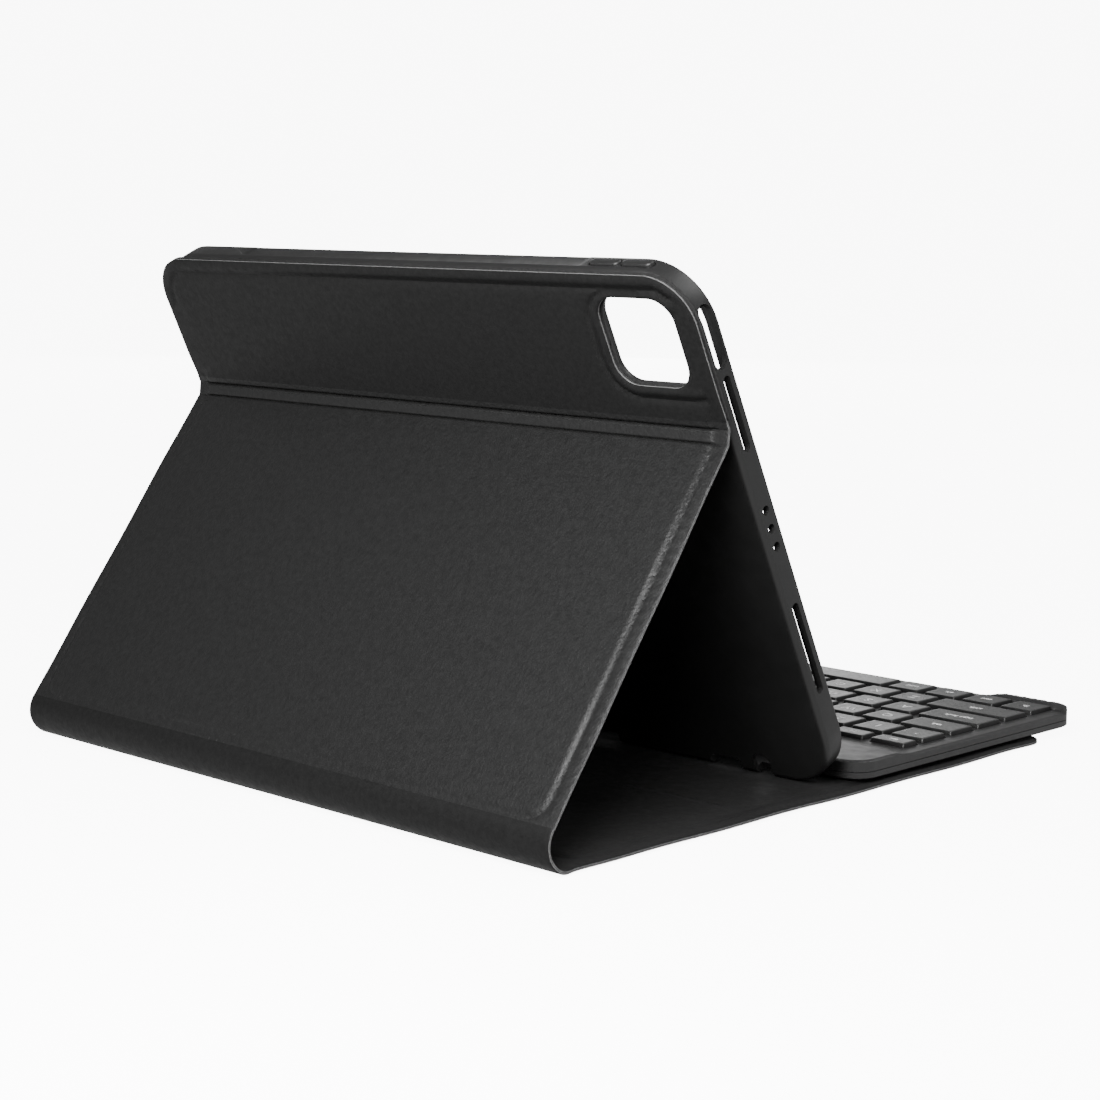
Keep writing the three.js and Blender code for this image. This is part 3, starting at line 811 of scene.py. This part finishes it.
def make_flap():
    loop = rounded_loop(FLAP_BOX, FLAP_RADII, 2.0, 16)
    hole = rounded_loop(WINDOW_BOX, WINDOW_RADII, 2.0, 9)
    spare = rings_inside(FLAP_BOX, FLAP_RADII, [0.25, 0.6, 1.0, 1.5], 1.6)
    for growth in (0.3, 0.7, 1.1, 1.6):
        box = tuple(v + s * growth for v, s in zip(WINDOW_BOX, (-1, -1, 1, 1)))
        spare += rounded_loop(box, [r + growth for r in WINDOW_RADII], 1.4, 9)
    fine = grid_inside((-126, FOLD_REACH, 126, FLAP_TOP), 0.8, 0.7)
    spare += [p for p in fine if p[0] < -70 or p[1] > 36]
    spare += grid_inside((-69, FOLD_REACH, 120, 36), 4.0, 1.0)
    points = np.array(spare)
    edge_gap = depth_inside(points[:, 0], points[:, 1], FLAP_BOX, FLAP_RADII)
    window_gap = -depth_inside(points[:, 0], points[:, 1], WINDOW_BOX, WINDOW_RADII)
    keep = (edge_gap > 0.15) & (window_gap > 0.15)
    walls = [(0.03, 0.0), (0.24, 0.0), (0.27, 0.9), (0.97, 1.1)]
    materials = [edge_dark, leather_smooth, leather_smooth, edge_light, edge_dark, edge_dark, edge_dark]
    return plate(
        "flap_leather", [loop, hole], [tuple(p) for p in points[keep]], flap_back, flap_outer, flap_place,
        walls, materials,
    )


flap = make_flap()
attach(flap, "tray")
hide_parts("flap_cover", "flap_board")


# ---- tray

TRAY_WIDTH = 252
TRAY_HEIGHT = 184
TRAY_DEPTH = 9
SIDE_INNER = 123.1
POCKET_FLOOR = 1.4
POCKET_TOP = 7.7
SLOT_BACK, SLOT_FRONT = 3, 6
PENCIL_LEFT, PENCIL_RIGHT = -81.6, 77.7
PENCIL_BACK = 2.4
PENCIL_DEPTH = 0.5
VOLUME_BUTTONS = {"volume_up_button": -97.7, "volume_down_button": -110.7}
VOLUME_LENGTH = 12
VOLUME_GAP = 0.3


def tray_ring(inset_x, inset_y, w, radius):
    """Rounded rectangle at height w, with the same number of points at every inset."""
    half = TRAY_WIDTH / 2 - inset_x
    counts = [24, 18, 24, 18]
    points = []
    bends = corner_bends((-half, inset_y, half, TRAY_HEIGHT - inset_y), [radius] * 4, 14)
    for k, bend in enumerate(bends):
        points += bend
        a, b = np.array(bend[-1]), np.array(bends[(k + 1) % 4][0])
        points += [tuple(a + (b - a) * i / counts[k]) for i in range(1, counts[k])]
    return [(x, y, w) for x, y in points]


def make_tray():
    """Shell with rounded outer edges, a lip round the front and a pocket for the tablet."""
    profile = [(6.0, 6.0, 0.0), (2.2, 2.2, 0.0)]
    back_round, front_round = 1.9, 1.5
    for k in range(1, 7):
        a = math.pi / 2 * k / 6
        inset = back_round * (1 - math.sin(a))
        profile.append((inset, inset, back_round * (1 - math.cos(a))))
    for k in range(0, 7):
        a = math.pi / 2 * k / 6
        inset = front_round * (1 - math.cos(a))
        profile.append((inset, inset, TRAY_DEPTH - front_round + front_round * math.sin(a)))
    profile += [(3.9, 4.4, TRAY_DEPTH), (4.35, 4.85, 8.85), (4.5, 5.0, 8.5), (4.5, 5.0, 7.75)]
    profile += [(4.3, 4.8, POCKET_TOP), (1.95, 2.45, POCKET_TOP), (1.9, 2.4, 7.6), (1.9, 2.4, 2.1)]
    profile += [(2.1, 2.6, 1.6), (2.6, 3.1, POCKET_FLOOR), (6, 6.5, POCKET_FLOOR)]
    rings = [tray_ring(ix, iy, w, 20 - min(ix, 12)) for ix, iy, w in profile]
    return loft("tray_body", rings[::-1], tray_place, [soft_touch], [0], 30)


def prism(outline, z0, z1, place, turn=None):
    """Straight cutter over an outline, turned in the tray's frame."""
    rings = [[(x, y, z) for x, y in outline] for z in (z0, z1)]
    return loft("cutter", rings, place @ (turn or Matrix.Identity(4)), [soft_touch], [0])


# A side cutter's outline runs up the wall and forwards; its length runs across the tray.
SIDEWAYS = Matrix(((0, 0, 1, 0), (1, 0, 0, 0), (0, 1, 0, 0), (0, 0, 0, 1)))
UPRIGHT = Matrix(((1, 0, 0, 0), (0, 0, 1, 0), (0, 1, 0, 0), (0, 0, 0, 1)))


def pill(u0, w0, u1, w1, arc=8):
    r = min(u1 - u0, w1 - w0) / 2 - 0.01
    return rounded_loop((u0, w0, u1, w1), [r] * 4, 50, arc)


def side_cut(x0, x1, u0, u1, w0, w1):
    return prism(pill(u0, w0, u1, w1), x0, x1, tray_place, SIDEWAYS)


def soft_side_recess(side, u0, u1, w0, w1, depth):
    """Shallow recess with sloping ends in a side wall, round the opening for a button."""
    outer = TRAY_WIDTH / 2 + 1
    floor = TRAY_WIDTH / 2 - depth
    wide = rounded_loop((u0 - 2.6, w0 - 1.0, u1 + 2.6, w1 + 1.0), [(w1 - w0) / 2 + 0.6] * 4, 50, 10)
    narrow = rounded_loop((u0, w0, u1, w1), [(w1 - w0) / 2 - 0.3] * 4, 50, 10)
    rings = [[(u, w, side * outer) for u, w in wide], [(u, w, side * floor) for u, w in narrow]]
    if side < 0:
        rings = rings[::-1]
    return loft("cutter", rings, tray_place @ SIDEWAYS, [soft_touch], [0])


def block_cut(x0, x1, u0, u1, w0, w1, radius=1.2):
    """Opening with rounded corners, cut straight through from back to front."""
    return prism(rounded_loop((x0, u0, x1, u1), [radius] * 4, 100, 5), w0, w1, tray_place)


def pencil_recess():
    """Shallow recess with scooped ends along the top wall, open towards the front."""
    rings = []
    for rise, grow in ((-PENCIL_DEPTH, 0.0), (-0.35, 0.5), (0, 2.2), (1, 6.0)):
        up = TRAY_HEIGHT + rise
        across = grow * 0.25
        box = (PENCIL_LEFT - grow, PENCIL_BACK - across, PENCIL_RIGHT + grow, TRAY_DEPTH + 3)
        rings.append([(x, w, up) for x, w in rounded_loop(box, [1.4, 1.4, 0.5, 0.5], 200, 5)])
    return loft("cutter", rings, tray_place @ UPRIGHT, [soft_touch], [0])


def tray_cutters():
    camera_left, camera_right = CAMERA_X - CAMERA_HALF, CAMERA_X + CAMERA_HALF
    camera_box = (camera_left, CAMERA_UP - CAMERA_HALF, camera_right, CAMERA_UP + CAMERA_HALF)
    window = rounded_loop(camera_box, [7.5] * 4, 50, 10)
    left, right = -TRAY_WIDTH / 2 - 1, TRAY_WIDTH / 2 + 1
    cutters = [
        prism(window, -1, 2.4, tray_place),
        block_cut(-31.5, 31.5, -3, 4.8, -1, 6.6),
        block_cut(-86, -72.6, -3, 4.5, -1, 6.6),
        prism(rounded_loop((-99, -4, -92, 8.6), [0.5, 0.5, 3.45, 3.45], 50, 8), -1, 3.6, tray_place),
        soft_side_recess(-1, 149, 172, 1.6, 7.4, 0.85),
        side_cut(left, -SIDE_INNER, 150, 171, 1.7, 7.3),
        side_cut(left, -SIDE_INNER, 122, 147.5, SLOT_BACK, SLOT_FRONT),
        side_cut(left, -SIDE_INNER, 35, 68, SLOT_BACK, SLOT_FRONT),
        side_cut(SIDE_INNER, right, 85, 99, 1.7, 7.3),
        side_cut(SIDE_INNER, right, 116, 149, SLOT_BACK, SLOT_FRONT),
        side_cut(SIDE_INNER, right, 35, 68, SLOT_BACK, SLOT_FRONT),
    ]
    for up in (88.6, 95, 101.4):
        cutters.append(side_cut(left, -SIDE_INNER, up - 1.5, up + 1.5, 2.9, 5.9))
    cutters.append(pencil_recess())
    for start in VOLUME_BUTTONS.values():
        hole = pill(start - VOLUME_GAP, 2.3, start + VOLUME_LENGTH + VOLUME_GAP, 6.7)
        cutters.append(prism(hole, 179.4, TRAY_HEIGHT + 2, tray_place, UPRIGHT))
    return cutters


def volume_button(name, start):
    """Rounded rubber button standing a little proud of the top wall."""
    rings = []
    for inset, u in [(0, 181.9), (0, 184.1), (0.12, 184.45), (0.4, 184.7), (0.9, 184.82), (1.5, 184.85)]:
        box = (start + inset, 2.6 + inset, start + VOLUME_LENGTH - inset, 6.4 - inset)
        rings.append([(x, w, u) for x, w in rounded_loop(box, [1.85 - inset] * 4, 50, 8)])
    button = loft(f"{name}_cap", rings, tray_place @ UPRIGHT, [soft_touch], [0])
    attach(button, name)
    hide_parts(name)


tray = cut(make_tray(), tray_cutters(), 30)
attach(tray, "tray")
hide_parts("tray_shell")
for button_name, button_start in VOLUME_BUTTONS.items():
    volume_button(button_name, button_start)


# ---- keyboard

KEYBOARD_WIDTH = 250
KEYBOARD_DEPTH = 129
KEY_UNIT = 16.5
KEY_GAP = 2.8
KEY_ROW_PITCH = 16.4
ROW_UNITS = 14.5
KEYS_FRONT = 5.4
FUNCTION_DEPTH = 8
COVER_FLOOR = 1.0
COVER_SEAM = 2.64
FRAME_SEAM = 2.76
DECK_UNDERSIDE = 4.4
DECK_TOP = 5.2
LEDGE_TOP = 6.5
LEDGE_DEPTH = 25
LIP_RISE = 2.0
WALL = 1.62
LEDGE_FRONT = KEYBOARD_DEPTH - LEDGE_DEPTH
KEYBOARD_BOX = (-KEYBOARD_WIDTH / 2, 0, KEYBOARD_WIDTH / 2, KEYBOARD_DEPTH)
KEYBOARD_RADII = [9] * 4

# Rows from front to rear: (node, legend, width in units).
FUNCTION_UNIT = ROW_UNITS / 14
KEY_ROWS = [
    [("fn_key", "fn", 1), ("control_key", "ctrl", 1), ("option_left_key", "alt", 1),
     ("command_left_key", "cmd", 1), ("space_key", "", 5.5), ("command_right_key", "cmd", 1),
     ("option_right_key", "alt", 1), ("arrow_left_key", "<", 1), ("arrow_pair", "", 1),
     ("arrow_right_key", ">", 1)],
    [("shift_left_key", "shift", 2.25)] + [("bottom_letter_keys", c, 1) for c in "ZXCVBNM,./"]
    + [("shift_right_key", "shift", 2.25)],
    [("caps_lock_key", "caps lock", 1.75)] + [("home_letter_keys", c, 1) for c in "ASDFGHJKL;'"]
    + [("return_key", "return", 1.75)],
    [("tab_key", "tab", 1.5)] + [("top_letter_keys", c, 1) for c in "QWERTYUIOP[]"]
    + [("backslash_key", "\\", 1)],
    [("number_keys", c, 1) for c in "`1234567890-="] + [("delete_key", "delete", 1.5)],
    [("escape_key", "esc", FUNCTION_UNIT)]
    + [("function_keys", f"F{k}", FUNCTION_UNIT) for k in range(1, 13)]
    + [("lock_key", "lock", FUNCTION_UNIT)],
]


def key_places():
    """Every key as (node, legend, x0, y0, x1, y1), in the keyboard's frame."""
    keys = []
    for index, row in enumerate(KEY_ROWS):
        y0 = KEYS_FRONT + index * KEY_ROW_PITCH
        depth = FUNCTION_DEPTH if index == len(KEY_ROWS) - 1 else KEY_ROW_PITCH - KEY_GAP
        x = -(ROW_UNITS * KEY_UNIT - KEY_GAP) / 2
        for node, text, units in row:
            width = units * KEY_UNIT - KEY_GAP
            if node == "arrow_pair":
                half = (depth - 1.4) / 2
                keys.append(("arrow_down_key", "v", x, y0, x + width, y0 + half))
                keys.append(("arrow_up_key", "^", x, y0 + depth - half, x + width, y0 + depth))
            else:
                keys.append((node, text, x, y0, x + width, y0 + depth))
            x += width + KEY_GAP
    return keys


keys = key_places()


def lip_height(x, y):
    """Raised corners along the front edge of the top frame."""
    reach = smooth(84, 97, np.abs(x))
    across = smooth(5.0, 3.6, y)
    return LIP_RISE * reach * across


def frame_top(x, y):
    depth = depth_inside(x, y, KEYBOARD_BOX, KEYBOARD_RADII)
    ledge = (LEDGE_TOP - DECK_TOP) * smooth(LEDGE_FRONT - 0.4, LEDGE_FRONT + 0.8, y)
    return DECK_TOP + ledge + lip_height(x, y) - edge_round(depth, 1.1, 0.55)


def frame_under(x, y):
    depth = depth_inside(x, y, KEYBOARD_BOX, KEYBOARD_RADII)
    return np.where(depth < WALL, FRAME_SEAM, DECK_UNDERSIDE)


def cover_under(x, y):
    depth = depth_inside(x, y, KEYBOARD_BOX, KEYBOARD_RADII)
    return edge_round(depth, 1.3, 0.7)


def cover_top(x, y):
    depth = depth_inside(x, y, KEYBOARD_BOX, KEYBOARD_RADII)
    return np.where(depth < WALL, COVER_SEAM, COVER_FLOOR)


def key_hole(key):
    grow = 0.35
    return rounded_loop((key[2] - grow, key[3] - grow, key[4] + grow, key[5] + grow), [0.9] * 4, 8, 3)


def keyboard_cutters(with_led):
    port = rounded_loop((54.8, 1.3, 65.2, 4.3), [1.3] * 4, 50, 5)
    switch = rounded_loop((85.4, 1.4, 94.6, 3.8), [0.5] * 4, 50, 3)
    led = [(104 + 1.1 * math.cos(t), 117 + 1.1 * math.sin(t)) for t in np.linspace(0, 2 * math.pi, 20, False)]
    cutters = [prism(outline, 125.2, 131, keyboard_place, UPRIGHT) for outline in (port, switch)]
    return cutters + [prism(led, 4, 8, keyboard_place)] if with_led else cutters


def make_keyboard():
    loop = rounded_loop(KEYBOARD_BOX, KEYBOARD_RADII, 4.0, 14)
    insets = [0.12, 0.3, 0.55, 0.85, 1.15, 1.6, 1.64]
    ring_points = rings_inside(KEYBOARD_BOX, KEYBOARD_RADII, insets, 4.0)
    spare = list(ring_points)
    for offset in (-0.4, -0.1, 0.2, 0.5, 0.8):
        y = LEDGE_FRONT + offset
        spare += between((-123, y), (123, y), 4.0)
    for y in (2.2, 3.2, 3.7, 4.2, 4.6, 4.9):
        spare += between((-123, y), (-82, y), 1.5) + between((82, y), (123, y), 1.5)
    spare += grid_inside((-122, LEDGE_FRONT + 2, 122, KEYBOARD_DEPTH - 2), 10.0, 2.0)
    points = np.array(spare)
    free = depth_inside(points[:, 0], points[:, 1], KEYBOARD_BOX, KEYBOARD_RADII) > 0.1
    for key in keys:
        grown = (key[2] - 0.45, key[3] - 0.45, key[4] + 0.45, key[5] + 0.45)
        free &= depth_inside(points[:, 0], points[:, 1], grown, [0.5] * 4) < 0
    top = plate(
        "keyboard_top", [loop, *map(key_hole, keys)], [tuple(p) for p in points[free]],
        frame_top, frame_under, keyboard_place, [(0.04, 0.0)], [housing], 40,
    )
    bottom = plate(
        "keyboard_bottom", [loop], ring_points + grid_inside(KEYBOARD_BOX, 12.0, 4.0),
        cover_top, cover_under, keyboard_place, [(0.94, 0.0), (0.96, 0.14)], [housing], 40,
    )
    cut(top, keyboard_cutters(True), 40)
    cut(bottom, keyboard_cutters(False), 40)
    for made, node in ((top, "keyboard_top_frame"), (bottom, "keyboard_bottom_cover")):
        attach(made, "keyboard")
        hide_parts(node)


make_keyboard()


# ---- keycaps and legends

KEY_TOP = 6.6
LETTER_SIZE = 5.2
WORD_SIZE = 3.1
FUNCTION_SIZE = 2.6
SHORT_KEY = 10
# Steps up a keycap: (inset, height).
CAP_PROFILE = [
    (0.0, 3.9), (0.02, 4.6), (0.34, 6.2), (0.44, 6.44),
    (0.58, 6.55), (0.8, KEY_TOP), (1.7, 6.57), (2.9, 6.53),
]
# Keycap sides take the copy with painted shade and tops the copy with painted light; the third material is
# the printed legend.
CAP_MATERIALS = [key_side_painted_shade, key_top_painted_light, legend]


def keycap(key, index):
    _, _, x0, y0, x1, y1 = key
    rings = []
    for inset, z in CAP_PROFILE:
        inset = min(inset, (y1 - y0) / 2 - 1.2)
        box = (x0 + inset, y0 + inset, x1 - inset, y1 - inset)
        rings.append([(x, y, z) for x, y in rounded_loop(box, [0.85 - min(inset, 0.3)] * 4, 200, 4)])
    return loft(f"cap_{index}", rings, keyboard_place, CAP_MATERIALS, [0, 0, 0, 1, 1, 1, 1, 1], 50)


def arrow_mesh(text, x, y, place):
    """Small solid triangle for an arrow key."""
    turn = {">": 0, "^": 90, "<": 180, "v": 270}[text]
    corners = [(1.5, 0), (-0.9, 1.15), (-0.9, -1.15)]
    c, s = math.cos(math.radians(turn)), math.sin(math.radians(turn))
    flat = [(x + px * c - py * s, y + px * s + py * c) for px, py in corners]
    rings = [[(px, py, z) for px, py in flat] for z in (KEY_TOP - 0.12, KEY_TOP - 0.02)]
    return loft("arrow", rings, place, CAP_MATERIALS, [2])


def text_objects():
    """Font objects for all legends, placed on their keys."""
    made = {}
    for index, (node, text, x0, y0, x1, y1) in enumerate(keys):
        if not text or node.startswith("arrow"):
            continue
        curve = bpy.data.curves.new(f"text_{index}", "FONT")
        curve.body = text
        curve.size = LETTER_SIZE if len(text) == 1 else WORD_SIZE
        if y1 - y0 < SHORT_KEY:
            curve.size = FUNCTION_SIZE
        curve.offset = 0.06
        curve.extrude = 0.03
        curve.resolution_u = 2
        curve.align_x = "CENTER"
        curve.align_y = "CENTER"
        writing = add_object(f"text_{index}", curve)
        writing.location = ((x0 + x1) / 2, (y0 + y1) / 2, KEY_TOP - 0.04)
        made[index] = writing
    bpy.context.view_layer.update()
    return made


def legend_meshes():
    """Thin solid letters as mesh objects in the row frame, by key index."""
    writings = text_objects()
    graph = bpy.context.evaluated_depsgraph_get()
    result = {}
    for index, writing in writings.items():
        mesh = bpy.data.meshes.new_from_object(writing.evaluated_get(graph))
        mesh.transform(keyboard_place @ writing.matrix_world)
        solid = bmesh.new()
        solid.from_mesh(mesh)
        bmesh.ops.remove_doubles(solid, verts=solid.verts, dist=1e-7)
        solid.to_mesh(mesh)
        solid.free()
        mesh.materials.clear()
        for m in CAP_MATERIALS:
            mesh.materials.append(m)
        mesh.polygons.foreach_set("material_index", [2] * len(mesh.polygons))
        letter = add_object(f"letter_{index}", mesh)
        result[index] = letter
        bpy.data.objects.remove(writing)
    return result


def make_keys():
    letters = legend_meshes()
    members = {}
    for index, key in enumerate(keys):
        parts = members.setdefault(key[0], [])
        parts.append(keycap(key, index))
        if index in letters:
            parts.append(letters[index])
        if key[0].startswith("arrow"):
            parts.append(arrow_mesh(key[1], (key[2] + key[4]) / 2, (key[3] + key[5]) / 2, keyboard_place))
    for node, parts in members.items():
        caps = join(f"{node}_cap", parts)
        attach(caps, node)
        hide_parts(node)


make_keys()


# ---- floor, lights, camera

FLOOR_ALBEDO = 0.94
FLOOR_GLOW = 9.0
ROOM_LIGHT = 0.27
TABLE_LIGHT = 0.84


def make_floor():
    mesh = bpy.data.meshes.new("floor")
    size, level = 8.0, -0.0002
    corners = [(-size, -size, level), (size, -size, level), (size, size, level), (-size, size, level)]
    mesh.from_pydata(corners, [], [(0, 1, 2, 3)])
    s = Shader("floor_white", 0.9, 0.0)
    s.color(s.noise(3, 2), grey(FLOOR_ALBEDO - 0.01), grey(FLOOR_ALBEDO + 0.01), 0.3)
    s.shader.inputs["Emission Color"].default_value = (1, 1, 1, 1)
    s.shader.inputs["Emission Strength"].default_value = FLOOR_GLOW
    mesh.materials.append(s.material)
    floor = add_object("floor", mesh)
    # The glow only whitens what is seen of the floor: it throws no light onto the case.
    floor.visible_diffuse = False
    floor.visible_glossy = False


def make_world():
    world = bpy.data.worlds.new("studio")
    bpy.context.scene.world = world
    world.use_nodes = True
    tree = world.node_tree
    tree.nodes.clear()
    kinds = ("OutputWorld", "MixShader", "Background", "Background", "LightPath", "TexCoord", "SeparateXYZ")
    out, mix, seen, light, path, place, split = (tree.nodes.new(f"ShaderNode{kind}") for kind in kinds)
    seen.inputs["Color"].default_value = (1, 1, 1, 1)
    seen.inputs["Strength"].default_value = FLOOR_GLOW + FLOOR_ALBEDO * ROOM_LIGHT
    light.inputs["Color"].default_value = (1, 1, 1, 1)
    # The case is lit softly from the room above and more strongly by the white table below.
    tree.links.new(place.outputs["Generated"], split.inputs[0])
    strength = spread(tree, split.outputs["Z"], -0.15, 0.1, TABLE_LIGHT, ROOM_LIGHT)
    tree.links.new(strength, light.inputs["Strength"])
    tree.links.new(path.outputs["Is Camera Ray"], mix.inputs["Fac"])
    tree.links.new(light.outputs[0], mix.inputs[1])
    tree.links.new(seen.outputs[0], mix.inputs[2])
    tree.links.new(mix.outputs[0], out.inputs["Surface"])


def softbox(name, place, size, power):
    """Round soft lamp that faces the case and is not seen itself."""
    lamp = bpy.data.lights.new(name, "AREA")
    lamp.shape = "DISK"
    lamp.size = size
    lamp.energy = power
    made = add_object(name, lamp)
    made.location = place
    made.rotation_euler = (Vector((0, 0, 0.06)) - Vector(place)).to_track_quat("-Z", "Y").to_euler()
    made.visible_camera = False


# Lens and shift of the camera, as measured on a frame this wide.
FRAME = 1100
FOCAL = 2408.76
SHIFT_X = -1.5
SHIFT_Y = -155.3
SENSOR = 36


def make_camera():
    """Camera behind and to one side of the case, almost level, at the photograph's viewing angle."""
    yaw, pitch, roll = math.radians(135.798), math.radians(4.4447), math.radians(0.5481)
    forward = Vector((math.sin(yaw) * math.cos(pitch), math.cos(yaw) * math.cos(pitch), -math.sin(pitch)))
    right = forward.cross(Vector((0, 0, 1))).normalized()
    up = right.cross(forward)
    side = right * math.cos(roll) + up * math.sin(roll)
    top = up * math.cos(roll) - right * math.sin(roll)
    data = bpy.data.cameras.new("camera")
    data.sensor_width = SENSOR
    data.lens = SENSOR * FOCAL / FRAME
    data.shift_x = SHIFT_X / FRAME
    data.shift_y = SHIFT_Y / FRAME
    data.clip_start, data.clip_end = 0.01, 50
    camera = add_object("camera", data)
    basis = Matrix((side, top, -forward)).transposed()
    camera.matrix_world = Matrix.Translation((-0.58396, 0.60746, 0.18635)) @ basis.to_4x4()
    bpy.context.scene.camera = camera


make_floor()
make_world()
softbox("key_light", (0.55, 1.5, 0.9), 0.8, 5.5)
softbox("fill_light", (-1.2, 0.5, 0.9), 1.2, 4)
softbox("near_light", (-0.26, 0.4, 0.34), 0.3, 5.5)
softbox("front_light", (-0.6, -0.7, 1.3), 0.9, 9)
softbox("horizon_light", (1.5, -1.4, 0.5), 1.1, 7)
make_camera()
